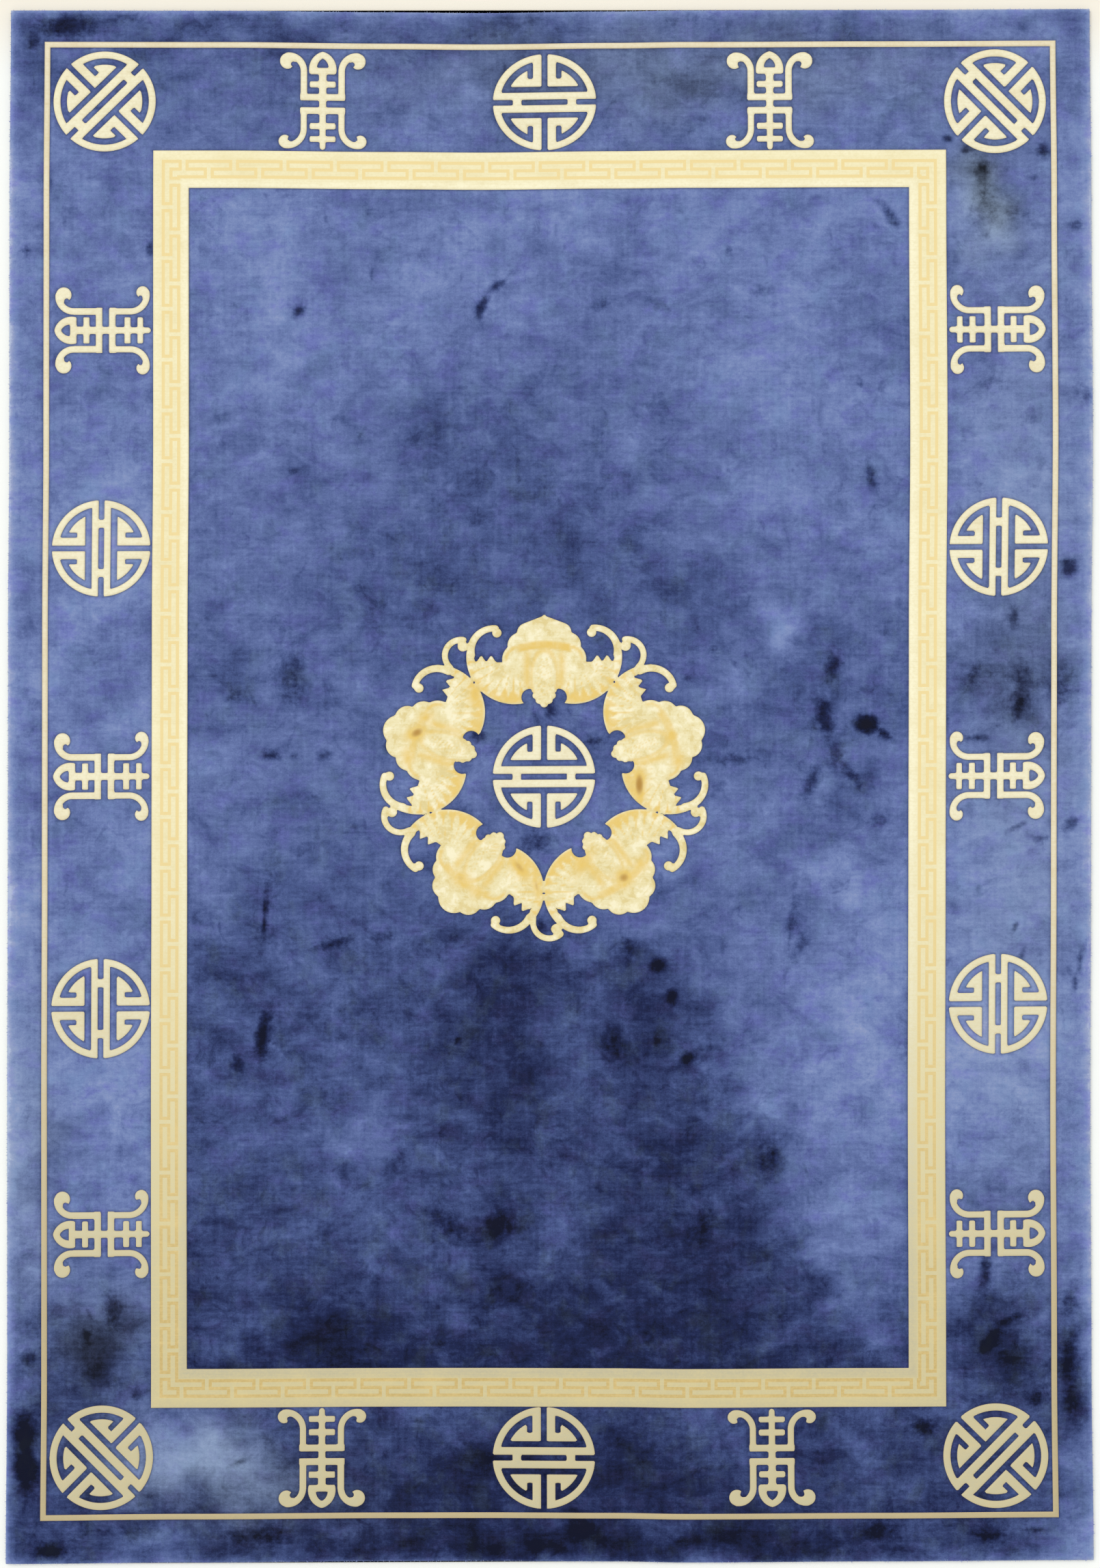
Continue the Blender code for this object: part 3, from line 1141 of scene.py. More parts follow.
@dataclass(frozen=True)
class NapLightAndShade:
    """The painted light and shade that the lie of the brushed nap shows on the blue pile, as shares of the
    lightest red level.
    """

    # Painted light and shade: the field's tone rises from the rug's lower end towards its top.
    field_start: float = 0.21
    field_rises: tuple[tuple[float, float, float], ...] = (
        (-0.95, -0.64, 0.18),
        (-0.36, -0.08, 0.15),
        (0.02, 0.12, -0.04),
        (0.20, 0.46, 0.10),
        (0.50, 0.90, 0.04),
    )
    # Painted shade: the border is darkest at the rug's lower end and lighter towards its middle.
    border_heights: tuple[float, ...] = (-1.20, -1.05, -0.95, -0.80, -0.50, 0.0, 0.50, 0.90, 1.15)
    border_tones: tuple[float, ...] = (0.27, 0.32, 0.41, 0.52, 0.65, 0.62, 0.65, 0.62, 0.51)
    # Soft patches of painted light and shade, where the nap lies towards or away from the light.
    field_marks: tuple[NapMark, ...] = patches(
        (-80, 430, 360, 300, 10, -0.16), (20, 640, 180, 100, 0, -0.06),
        (50, 780, 140, 100, 0, -0.07), (-300, 590, 20, 110, 0, -0.12),
        (-190, 570, 80, 90, 0, -0.16), (-130, 410, 30, 40, 0, -0.12), (20, 390, 60, 80, 0, -0.1),
        (170, 340, 60, 80, 0, -0.1), (-500, 180, 60, 100, 0, -0.12), (440, -30, 80, 100, 0, -0.17),
        (390, -200, 50, 70, 0, -0.12), (370, 260, 60, 50, 0, 0.1), (-55, -360, 160, 300, 0, -0.13),
        (-40, -450, 50, 180, 0, -0.12), (-60, -720, 80, 160, 0, -0.1),
        (170, -480, 160, 340, 0, -0.08), (140, -410, 110, 110, 0, -0.08),
        (330, -670, 40, 140, 0, -0.12), (500, -380, 160, 450, -6, 0.32),
        (380, -450, 140, 400, 0, 0.1), (500, -750, 160, 300, 0, 0.18),
        (280, -300, 120, 200, 0, 0.1), (190, -60, 160, 140, 0, 0.08),
        (200, -700, 300, 240, 0, -0.09), (360, 100, 120, 140, 0, -0.05),
        (-440, -510, 40, 50, 0, 0.12), (-310, -540, 70, 50, 0, 0.12), (-420, -380, 6, 60, 0, 0.16),
        (0, -740, 50, 30, 0, 0.1), (-320, -860, 120, 60, 0, -0.1), (160, -830, 180, 100, 0, -0.08),
        (340, 230, 80, 50, 0, 0.14), (510, 10, 50, 70, 0, -0.17), (-170, -200, 50, 50, 0, -0.13),
        (280, -370, 60, 100, 0, 0.12), (390, -530, 50, 60, 0, -0.15), (-510, -850, 50, 50, 0, 0.12),
        (433, 110, 22, 75, 8, -0.12), (470, 20, 60, 18, -50, -0.1), (380, -80, 50, 60, 0, -0.14),
        (500, -100, 50, 50, 0, -0.12), (300, 160, 60, 60, 0, 0.1), (-400, 520, 60, 60, 0, -0.1),
        (300, 550, 50, 50, 0, -0.08), (470, -840, 70, 50, 0, 0.12), (-280, -530, 50, 40, 0, -0.06),
        (370, 270, 60, 60, 0, 0.12), (-450, 880, 100, 140, 0, 0.07), (0, -420, 140, 120, 0, 0.07),
        (-330, 480, 80, 70, 0, -0.07), (420, -770, 80, 80, 0, -0.12), (480, -560, 70, 90, 0, -0.12),
    )
    border_marks: tuple[NapMark, ...] = patches(
        (-500, 1190, 550, 50, 0, -0.17), (750, 1120, 160, 160, 0, 0.12),
        (-700, 395, 120, 120, 0, 0.16), (720, 930, 90, 100, 0, -0.14),
        (770, 150, 80, 100, 0, -0.22), (700, 170, 140, 160, 0, -0.14),
        (700, -380, 140, 140, 0, 0.18), (-790, -540, 70, 80, 0, -0.18),
        (-700, -870, 90, 110, 0, -0.16), (700, -870, 110, 120, 0, -0.3),
        (820, -930, 30, 120, 0, -0.16), (-560, -1050, 200, 90, -20, 0.4),
        (50, -1060, 500, 120, 0, -0.1), (100, -1190, 500, 50, 0, -0.24),
        (-600, -1190, 80, 40, 0, 0.1), (820, -1170, 120, 100, 0, 0.3),
        (-810, -990, 35, 120, 0, -0.2), (-810, 1120, 50, 120, 0, -0.12),
        (-90, 1195, 60, 40, 0, -0.1), (800, 1200, 60, 40, 0, -0.2), (-620, -1200, 100, 40, 0, 0.16),
        (-120, -1195, 100, 40, 0, -0.08), (820, -1050, 40, 60, 0, 0.14),
        (-830, 270, 40, 120, 0, -0.12), (-830, -720, 40, 80, 0, -0.14),
        (-750, 620, 50, 50, 0, -0.08), (-580, 380, 40, 80, 0, -0.12),
        (-110, -1100, 140, 90, 0, -0.18), (210, 1120, 160, 60, 0, -0.15),
        (680, 950, 60, 60, 0, -0.12), (-765, 205, 50, 80, 0, 0.12), (-820, -160, 40, 200, 0, 0.1),
        (680, 880, 50, 50, 0, 0.16), (-700, -870, 80, 120, 0, -0.2), (-820, -700, 40, 220, 0, 0.13),
        (-620, -1090, 60, 50, 0, 0.08),
    )
    # Painted shade where fingers or brushes pressed the nap, in the field and the border.
    field_spots: tuple[NapMark, ...] = patches(
        (-108, 755, 7, 21, -22, 1.3), (-86, 786, 7, 17, -52, 1.1), (-61, 807, 5, 15, -60, 0.6),
        (-395, 746, 9, 14, -25, 1.1), (-352, 891, 4, 18, 14, 0.6), (-281, 803, 5, 14, 5, 0.6),
        (533, 895, 7, 24, 32, 1), (515, 916, 13, 6, -20, 0.7), (280, 842, 5, 11, 15, 0.7),
        (333, 776, 21, 9, 0, 0.6), (170, 755, 30, 8, -25, 0.6), (79, 755, 16, 9, 0, 0.6),
        (485, 633, 6, 9, 0, 0.8), (501, 487, 10, 28, 10, 0.8), (-400, 497, 11, 6, 30, 0.6),
        (445, 190, 13, 21, 0, 0.95), (432, 107, 13, 32, 15, 1.15), (449, 51, 14, 24, -8, 0.95),
        (497, 97, 16, 12, -10, 2), (524, 82, 14, 5, -30, 1.2), (410, 6, 12, 29, -20, 0.95),
        (466, 30, 10, 42, 32, 0.7), (520, -55, 17, 12, 0, 0.7), (381, -215, 10, 39, -10, 0.7),
        (394, -250, 11, 26, -25, 0.7), (284, 42, 39, 10, 0, 0.6), (218, 170, 9, 6, 0, 0.6),
        (124, -252, 15, 15, 0, 0.8), (170, -280, 14, 12, 35, 1), (193, -327, 9, 13, -20, 0.95),
        (218, -426, 15, 9, 38, 1.05), (169, -399, 7, 11, 0, 0.7), (99, -405, 19, 32, 0, 0.7),
        (345, -587, 21, 36, 0, 0.7), (243, -690, 15, 30, 0, 0.7), (-407, 173, 26, 47, 0, 0.8),
        (-492, 141, 15, 11, 30, 0.6), (-436, 49, 15, 9, 0, 0.95), (-401, 48, 6, 5, 0, 0.6),
        (-353, 49, 13, 10, 0, 0.9), (-255, 62, 6, 9, 0, 0.7), (-445, -196, 4, 36, -3, 1.05),
        (-333, -245, 36, 9, 14, 0.75), (-262, -236, 17, 11, 10, 0.6), (-448, -392, 11, 36, -8, 1.2),
        (-489, -437, 12, 15, 0, 0.8), (-160, -686, 36, 21, -30, 0.7), (-77, -689, 36, 24, 10, 0.8),
        (-144, -398, 6, 6, 0, 0.9), (2, 120, 10, 13, 0, 0.9), (-112, 79, 13, 11, 0, 0.8),
        (68, 72, 17, 11, 0, 0.6), (-16, -86, 32, 17, 0, 0.7), (-13, -216, 9, 15, 0, 0.7),
    )
    border_spots: tuple[NapMark, ...] = patches(
        (-756, 1192, 36, 17, 0, 1.3), (-669, 1205, 43, 6, 0, 0.7), (-487, 1206, 64, 5, 0, 0.6),
        (-814, 1169, 11, 15, 0, 0.7), (-628, 843, 7, 15, 0, 1), (-822, 840, 9, 10, 0, 0.8),
        (624, 1014, 9, 6, 0, 1), (653, 996, 10, 6, 0, 1), (775, 996, 11, 13, 0, 1),
        (678, 963, 13, 17, 0, 0.9), (681, 906, 26, 32, 0, 0.7), (683, 864, 11, 9, 0, 0.8),
        (726, 902, 17, 13, 0, 0.6), (759, 953, 11, 6, 0, 0.7), (824, 877, 15, 7, 0, 1),
        (689, 631, 26, 15, 0, 0.5), (755, 578, 13, 15, -20, 0.5), (842, 606, 10, 15, 0, 0.8),
        (839, 545, 4, 21, 0, 0.8), (813, 340, 13, 15, 0, 1.4), (728, 263, 10, 17, 0, 0.9),
        (739, 169, 21, 24, 0, 0.7), (736, 124, 11, 24, -20, 0.9), (660, 169, 32, 21, 0, 0.6),
        (800, 152, 28, 28, 0, 0.8), (672, 75, 21, 5, 0, 0.8), (622, 107, 5, 15, 0, 0.6),
        (817, -61, 17, 9, 30, 1), (734, -65, 21, 5, 25, 0.8), (772, -85, 15, 6, 0, 0.7),
        (669, -163, 15, 11, 0, 0.5), (731, -221, 5, 10, -25, 1), (742, -266, 5, 13, -20, 0.8),
        (836, -267, 4, 26, -6, 1.1), (823, -307, 4, 19, 10, 1), (690, -872, 10, 24, -40, 1),
        (722, -838, 26, 6, 20, 0.8), (722, -900, 28, 8, -20, 0.6), (683, -762, 11, 32, -5, 0.9),
        (816, -810, 13, 27, -10, 0.8), (813, -895, 12, 36, -12, 1), (819, -970, 13, 32, 0, 0.7),
        (764, -963, 17, 15, 0, 0.8), (588, -1004, 17, 13, -25, 0.95), (761, -1168, 19, 5, 0, 0.8),
        (686, -1175, 24, 15, 0, 0.8), (516, -1168, 43, 15, 0, 0.7), (-684, -820, 13, 28, 5, 0.9),
        (-725, -860, 9, 15, 0, 0.6), (-646, -953, 11, 9, 0, 0.8), (-818, -895, 15, 13, 0, 0.9),
        (-821, -1011, 16, 28, 0, 1.1), (-818, -1066, 16, 36, 0, 1.2), (-779, -1196, 28, 13, 0, 1),
        (-483, -1059, 21, 5, 25, 0.8), (-457, -1174, 47, 15, 0, 0.8),
    )
    grey_patches: tuple[NapMark, ...] = patches(
        (-530, -1070, 200, 80, -10, 0.55), (-700, -860, 80, 100, 0, 0.4),
        (680, 920, 60, 80, 0, 0.8), (200, 1120, 500, 80, 0, 0.38), (740, 100, 100, 900, 0, 0.24),
        (-820, -600, 60, 300, 0, 0.3),
    )
    cloud_fall: float = 2.3
    grey_fall: float = 1.3
    spot_fall: float = 0.75
    sway: float = 0.018
    ripple: float = 0.009
    # Painted highlight along the rim, where the pile leans over into the light.
    rim_side_highlight: float = 0.45
    rim_end_highlight: float = 0.28
    rim_highlight_fade: float = 0.0075

    def wander(self, x: Array, y: Array) -> tuple[Array, Array]:
        """Places shifted by slow waves, so that no patch has a plain outline.

        Args:
            x: Places across the rug.
            y: Places along the rug.

        Returns:
            The shifted places.
        """
        bend_x = self.sway * np.sin(y * 31.0 + x * 13.0) + self.ripple * np.sin(y * 83.0 - x * 47.0 + 1.0)
        bend_y = self.sway * np.sin(x * 29.0 - y * 17.0 + 2.0) + self.ripple * np.sin(x * 79.0 + y * 53.0)
        return x + bend_x, y + bend_y

    def tone(self, x: Array, y: Array, inside_band: Array, rim: Lines) -> Array:
        """The broad painted light and shade of the nap at each place, with a painted highlight along the rim.

        Args:
            x: Places across the rug.
            y: Places along the rug.
            inside_band: Whether each place is in the field, and not in the border.
            rim: The rug's outline, along which a painted highlight makes the pile paler.

        Returns:
            The tones, from about 0.2 to 0.95.
        """
        moved_x, moved_y = self.wander(x, y)
        field = np.full_like(x, self.field_start)
        for start, end, rise in self.field_rises:
            field = field + rise * smooth(start, end, moved_y)
        for mark in self.field_marks:
            field = field + mark.strength(moved_x, moved_y, self.cloud_fall)
        border = np.interp(moved_y, self.border_heights, self.border_tones)
        for mark in self.border_marks:
            border = border + mark.strength(moved_x, moved_y, self.cloud_fall)
        # Painted highlight along the rug's sides and ends.
        from_side = np.minimum(x - rim.left, rim.right - x)
        from_end = np.minimum(y - rim.bottom, rim.top - y)
        border = border + self.rim_side_highlight * np.exp(-np.maximum(from_side, 0.0) / self.rim_highlight_fade)
        border = border + self.rim_end_highlight * np.exp(-np.maximum(from_end, 0.0) / self.rim_highlight_fade)
        return np.where(inside_band, field, border)

    def greyed(self, x: Array, y: Array) -> Array:
        """How far the blue is mixed towards grey at each place."""
        moved = self.wander(x, y)
        return np.max([mark.strength(*moved, self.grey_fall) for mark in self.grey_patches], axis=0)

    def spot(self, x: Array, y: Array) -> Array:
        """How strongly the painted shade of a finger mark or brush mark in the nap darkens each place."""
        spots = self.field_spots + self.border_spots
        return np.max([mark.strength(x, y, self.spot_fall) for mark in spots], axis=0)


def linear(red: float, green: float, blue: float) -> tuple[float, float, float, float]:
    """A shader colour for a colour as it shows on a screen, whose parts run from 0 to 255.

    Args:
        red: Its red part.
        green: Its green part.
        blue: Its blue part.

    Returns:
        The parts on the shader's own scale, and 1 for opaque.
    """
    parts = []
    for level in (red, green, blue):
        share = level / 255.0
        parts.append(share / 12.92 if share <= 0.04045 else ((share + 0.055) / 1.055) ** 2.4)
    return (parts[0], parts[1], parts[2], 1.0)


class Graph:
    """A material's nodes, written from left to right."""

    def __init__(self, name: str) -> None:
        """Starts a material of that name, with only its shader and its output.

        Args:
            name: The material's name.
        """
        self.material = bpy.data.materials.new(name)
        self.material.use_nodes = True
        self.tree = self.material.node_tree
        self.shader = self.tree.nodes["Principled BSDF"]

    def put(self, socket: Socket, value: object) -> None:
        """Links a node's output to a socket, or sets the socket to a plain value."""
        if isinstance(value, Socket):
            self.tree.links.new(value, socket)
        else:
            socket.default_value = value

    def place(self, scale: tuple[float, float, float]) -> Socket:
        """Object coordinates.

        Args:
            scale: How far they are stretched along each axis.

        Returns:
            The output that carries them.
        """
        spot = self.tree.nodes.new("ShaderNodeTexCoord")
        mapping = self.tree.nodes.new("ShaderNodeMapping")
        self.put(mapping.inputs["Vector"], spot.outputs["Object"])
        self.put(mapping.inputs["Scale"], scale)
        return mapping.outputs["Vector"]

    def noise(
        self, scale: tuple[float, float, float], detail: float = 3.0, rough: float = 0.55, turn: float = 0.0
    ) -> Socket:
        """A noise whose grain follows the given scale along each axis.

        Args:
            scale: Repeats in a metre along each axis.
            detail: How many finer layers it has.
            rough: How strong the finer layers are.
            turn: How far its grain is bent.

        Returns:
            The noise, from 0 to 1.
        """
        node = self.tree.nodes.new("ShaderNodeTexNoise")
        self.put(node.inputs["Vector"], self.place(scale))
        self.put(node.inputs["Scale"], 1.0)
        self.put(node.inputs["Detail"], detail)
        self.put(node.inputs["Roughness"], rough)
        self.put(node.inputs["Distortion"], turn)
        return node.outputs["Fac"]

    def math(self, kind: str, first: object, second: object = 0.0, third: object = 0.0) -> Socket:
        """One step of arithmetic.

        Args:
            kind: The node's operation.
            first: A number or an output.
            second: The next one.
            third: The last one, for the operations that take three.

        Returns:
            The result's output.
        """
        node = self.tree.nodes.new("ShaderNodeMath")
        node.operation = kind
        for socket, value in zip(node.inputs, (first, second, third)):
            self.put(socket, value)
        return node.outputs["Value"]

    def around(self, value: Socket, strength: float) -> Socket:
        """A noise turned into a push to both sides of zero."""
        return self.math("MULTIPLY_ADD", value, 2.0 * strength, -strength)

    def total(self, *values: object) -> Socket:
        """A sum.

        Args:
            *values: Two or more numbers or outputs.

        Returns:
            The sum's output.
        """
        found = values[0]
        for value in values[1:]:
            found = self.math("ADD", found, value)
        return found

    def step(
        self, value: object, start: float, end: float, low: float = 0.0, high: float = 1.0
    ) -> Socket:
        """An eased step between two values.

        Args:
            value: What it follows.
            start: Where it leaves the low value.
            end: Where it reaches the high value.
            low: The value before it.
            high: The value after it.

        Returns:
            The step's output.
        """
        node = self.tree.nodes.new("ShaderNodeMapRange")
        node.interpolation_type = "SMOOTHSTEP"
        for socket, given in zip(node.inputs[:5], (value, start, end, low, high)):
            self.put(socket, given)
        return node.outputs["Result"]

    def height(self) -> Socket:
        """The place along the rug, towards its upper end.

        Returns:
            The output that carries it.
        """
        split = self.tree.nodes.new("ShaderNodeSeparateXYZ")
        self.put(split.inputs["Vector"], self.place((1.0, 1.0, 1.0)))
        return split.outputs["Y"]

    def attribute(self, name: str) -> Socket:
        """A number that the mesh holds for each point.

        Args:
            name: The number's name.

        Returns:
            The output that carries it.
        """
        node = self.tree.nodes.new("ShaderNodeAttribute")
        node.attribute_name = name
        return node.outputs["Fac"]

    def ramp(self, value: object, stops: Sequence[tuple[float, Tint]]) -> Socket:
        """A colour ramp.

        Args:
            value: What it follows.
            stops: The value and the colour of each of its stops.

        Returns:
            The colour's output.
        """
        node = self.tree.nodes.new("ShaderNodeValToRGB")
        ramp = node.color_ramp
        while len(ramp.elements) < len(stops):
            ramp.elements.new(0.5)
        for element, (place, tint) in zip(ramp.elements, stops):
            element.position = place
            element.color = linear(*tint)
        self.put(node.inputs["Fac"], value)
        return node.outputs["Color"]

    def mix(self, share: object, first: object, second: object, kind: str = "MIX") -> Socket:
        """A mix of two colours.

        Args:
            share: How much of the second colour it takes.
            first: The first colour.
            second: The second colour.
            kind: The node's way of mixing.

        Returns:
            The colour's output.
        """
        node = self.tree.nodes.new("ShaderNodeMix")
        node.data_type = "RGBA"
        node.blend_type = kind
        self.put(node.inputs[0], share)
        self.put(node.inputs[6], first)
        self.put(node.inputs[7], second)
        return node.outputs[2]

    def bump(self, height: Socket, distance: float, strength: float) -> None:
        """Roughens the surface.

        Args:
            height: The output that gives the height.
            distance: How high it stands at most.
            strength: The share of it that counts.
        """
        node = self.tree.nodes.new("ShaderNodeBump")
        self.put(node.inputs["Height"], height)
        self.put(node.inputs["Distance"], distance)
        self.put(node.inputs["Strength"], strength)
        self.put(self.shader.inputs["Normal"], node.outputs["Normal"])

    def finish(self, colour: object, rough: float, sheen: float, shine: float) -> bpy.types.Material:
        """Sets the shader's colour and its fixed gloss.

        Args:
            colour: The base colour.
            rough: The roughness.
            sheen: The weight of the soft sheen.
            shine: The level of the mirror-like part.

        Returns:
            The finished material.
        """
        self.put(self.shader.inputs["Base Color"], colour)
        self.put(self.shader.inputs["Roughness"], rough)
        self.put(self.shader.inputs["Metallic"], 0.0)
        self.put(self.shader.inputs["Specular IOR Level"], shine)
        self.put(self.shader.inputs["Sheen Weight"], sheen)
        self.put(self.shader.inputs["Sheen Roughness"], 0.45)
        return self.material


@dataclass(frozen=True)
class BlueSilk:
    """Clipped silk pile, dyed blue, whose colour carries the painted light and shade of its nap's lie."""

    name: str = "clipped_blue_silk"
    cloud: float = 0.24
    mottle: float = 0.29
    lower_mottle: float = 1.15
    grain: float = 0.10
    fibre: float = 0.07
    row: float = 0.06
    streak: float = 0.06
    dark_flecks: float = 0.08
    ragged: float = 0.50
    # Strength of the painted shade of finger and brush marks.
    spot: float = 0.40
    # Strength of the painted shade in the carved furrows beside the signs.
    carved: float = 0.42
    stops: tuple[tuple[float, Tint], ...] = (
        (0.04, (4, 9, 34)),
        (0.20, (25, 35, 75)),
        (0.32, (47, 60, 104)),
        (0.45, (70, 86, 135)),
        (0.575, (92, 108, 158)),
        (0.66, (106, 123, 173)),
        (0.775, (124, 141, 186)),
        (0.91, (146, 157, 193)),
        (1.00, (172, 183, 209)),
    )
    violet: Tint = (92, 93, 172)
    steel: Tint = (84, 104, 142)
    grey: Tint = (106, 121, 138)
    # The colour of the darkest painted shade in those marks.
    deepest: Tint = (10, 12, 30)
    # The colour of the painted shade in the carved furrows.
    furrow: Tint = (30, 32, 70)
    sheen: Tint = (120, 140, 220)

    def material(self) -> bpy.types.Material:
        """Builds the finish's nodes.

        Returns:
            The material.
        """
        graph = Graph(self.name)
        mottle = graph.around(graph.noise((20.0, 28.0, 20.0), 7.0, 0.69, 0.4), self.mottle)
        stronger = graph.step(graph.height(), 0.10, -0.60, 1.0, self.lower_mottle)
        # The tone attribute carries the painted light and shade of the nap; the noises add random clouds,
        # mottle, grain and rows.
        tone = graph.total(
            graph.attribute("tone"),
            graph.around(graph.noise((4.0, 5.0, 4.0), 5.0, 0.62, 0.5), self.cloud),
            graph.math("MULTIPLY", mottle, stronger),
            graph.around(graph.noise((150.0, 190.0, 150.0), 3.0, 0.6), self.grain),
            graph.around(graph.noise((520.0, 460.0, 500.0), 1.0), self.fibre),
            graph.around(graph.noise((11.0, 210.0, 9.0), 3.0), self.row),
            graph.around(graph.noise((150.0, 9.0, 9.0), 3.0), self.streak),
        )
        # Dark flecks where a noise runs high.
        dark_flecks = graph.step(graph.noise((31.0, 26.0, 30.0), 4.0, 0.6, 1.1), 0.56, 0.72)
        tone = graph.math("MULTIPLY_ADD", dark_flecks, -self.dark_flecks, tone)
        ragged = graph.around(graph.noise((90.0, 90.0, 90.0), 4.0, 0.65), self.ragged)
        # Painted shade where fingers or brushes pressed the nap, ragged at its edges.
        marks = graph.total(graph.attribute("spot"), ragged)
        tone = graph.math("MULTIPLY_ADD", graph.step(marks, 0.08, 1.25), -self.spot, tone)
        colour = graph.ramp(tone, self.stops)
        violet = graph.step(graph.noise((23.0, 30.0, 23.0), 5.0, 0.65), 0.48, 0.68, 0.0, 0.45)
        colour = graph.mix(violet, colour, linear(*self.violet), "COLOR")
        steel = graph.step(graph.noise((27.0, 21.0, 27.0), 5.0, 0.65), 0.50, 0.68, 0.0, 0.50)
        colour = graph.mix(steel, colour, linear(*self.steel), "COLOR")
        colour = graph.mix(graph.attribute("greyed"), colour, linear(*self.grey), "COLOR")
        # Painted shade: the strongest marks turn nearly black.
        colour = graph.mix(graph.step(marks, 1.20, 1.80), colour, linear(*self.deepest))
        # Painted shade in the carved furrows along each colour edge.
        carved = graph.math("MULTIPLY", graph.attribute("carved"), self.carved)
        colour = graph.mix(carved, colour, linear(*self.furrow))
        tips = graph.noise((900.0, 900.0, 500.0), 2.0, 0.6)
        rows = graph.noise((60.0, 640.0, 60.0), 1.0)
        graph.bump(graph.math("MULTIPLY_ADD", rows, 0.5, tips), 0.0006, 0.45)
        graph.put(graph.shader.inputs["Sheen Tint"], linear(*self.sheen))
        return graph.finish(colour, 0.62, 0.15, 0.10)


@dataclass(frozen=True)
class PaleSilk:
    """Clipped silk pile in an undyed or a gold yarn, with painted shade that darkens it towards the rug's
    lower end.
    """

    name: str
    light: Tint
    # The colour of the painted shade towards the rug's lower end.
    lower_shade: Tint
    # A darker cream, used for random patches and grain, and as the painted shade along the carved edges.
    edge: Tint
    gold: Tint = (238, 206, 128)
    ochre: Tint = (200, 152, 74)
    patchy: float = 0.5
    # Strength of the painted shade along the carved edges.
    carved: float = 0.42
    full_gold: float = 0.6
    worn_gold: float = 1.0
    speckle: float = 0.0
    speckle_light: Tint = (252, 246, 216)
    speckle_dark: Tint = (214, 192, 120)

    def material(self) -> bpy.types.Material:
        """Builds the finish's nodes.

        Returns:
            The material.
        """
        graph = Graph(self.name)
        # Painted shade: the colour darkens towards the rug's lower end.
        low = graph.step(graph.height(), 0.10, -1.00)
        colour = graph.mix(low, linear(*self.light), linear(*self.lower_shade))
        cloud = graph.step(graph.noise((14.0, 18.0, 14.0), 5.0, 0.6, 0.3), 0.42, 0.72)
        colour = graph.mix(graph.math("MULTIPLY", cloud, self.patchy * 0.5), colour, linear(*self.edge))
        grain = graph.noise((230.0, 260.0, 230.0), 3.0, 0.6)
        colour = graph.mix(graph.step(grain, 0.35, 0.75, 0.0, 0.28), colour, linear(*self.edge))
        streaks = graph.noise((14.0, 420.0, 14.0), 2.0)
        colour = graph.mix(graph.step(streaks, 0.45, 0.75, 0.0, 0.22), colour, linear(*self.edge))
        speckle = graph.noise((56.0, 56.0, 56.0), 5.0, 0.62, 0.3)
        light = graph.step(speckle, 0.50, 0.62, 0.0, self.speckle)
        colour = graph.mix(light, colour, linear(*self.speckle_light))
        dark = graph.step(speckle, 0.47, 0.36, 0.0, self.speckle)
        colour = graph.mix(dark, colour, linear(*self.speckle_dark))
        gold = graph.attribute("gold")
        wear = graph.noise((48.0, 48.0, 48.0), 4.0, 0.6, 0.4)
        worn = graph.step(wear, 0.36, 0.62, self.worn_gold, 1.0)
        golden = graph.math("MINIMUM", graph.math("DIVIDE", gold, self.full_gold), 1.0)
        golden = graph.math("MULTIPLY", golden, worn)
        colour = graph.mix(golden, colour, linear(*self.gold))
        colour = graph.mix(graph.step(gold, self.full_gold, 1.0), colour, linear(*self.ochre))
        # Painted shade along the carved edges of the pale pile.
        carved = graph.math("MULTIPLY", graph.attribute("carved"), self.carved)
        colour = graph.mix(carved, colour, linear(*self.edge))
        tips = graph.noise((900.0, 900.0, 500.0), 2.0, 0.6)
        graph.bump(tips, 0.0005, 0.4)
        return graph.finish(colour, 0.60, 0.20, 0.25)


@dataclass(frozen=True)
class GroundCloth:
    """The close plain weave that the pile is knotted on."""

    name: str = "woven_ground_cloth"
    threads: float = 170.0
    hollow: Tint = (176, 160, 126)
    thread: Tint = (226, 214, 184)
    stain: Tint = (150, 140, 120)

    def material(self) -> bpy.types.Material:
        """Builds the finish's nodes.

        Returns:
            The material.
        """
        graph = Graph(self.name)
        across = graph.tree.nodes.new("ShaderNodeTexWave")
        along = graph.tree.nodes.new("ShaderNodeTexWave")
        for wave, direction in ((across, "X"), (along, "Y")):
            wave.bands_direction = direction
            graph.put(wave.inputs["Vector"], graph.place((1.0, 1.0, 1.0)))
            graph.put(wave.inputs["Scale"], self.threads)
            graph.put(wave.inputs["Distortion"], 0.6)
        weave = graph.math("MAXIMUM", across.outputs["Fac"], along.outputs["Fac"])
        colour = graph.mix(weave, linear(*self.hollow), linear(*self.thread))
        cloud = graph.noise((8.0, 8.0, 8.0), 4.0)
        colour = graph.mix(graph.step(cloud, 0.4, 0.8, 0.0, 0.3), colour, linear(*self.stain))
        graph.bump(weave, 0.0004, 0.6)
        return graph.finish(colour, 0.85, 0.1, 0.2)


class Yarn(NamedTuple):
    """A yarn: its side of the carved edges, the record's slot and its material."""

    colour: Colour
    slot: Slot
    material: bpy.types.Material


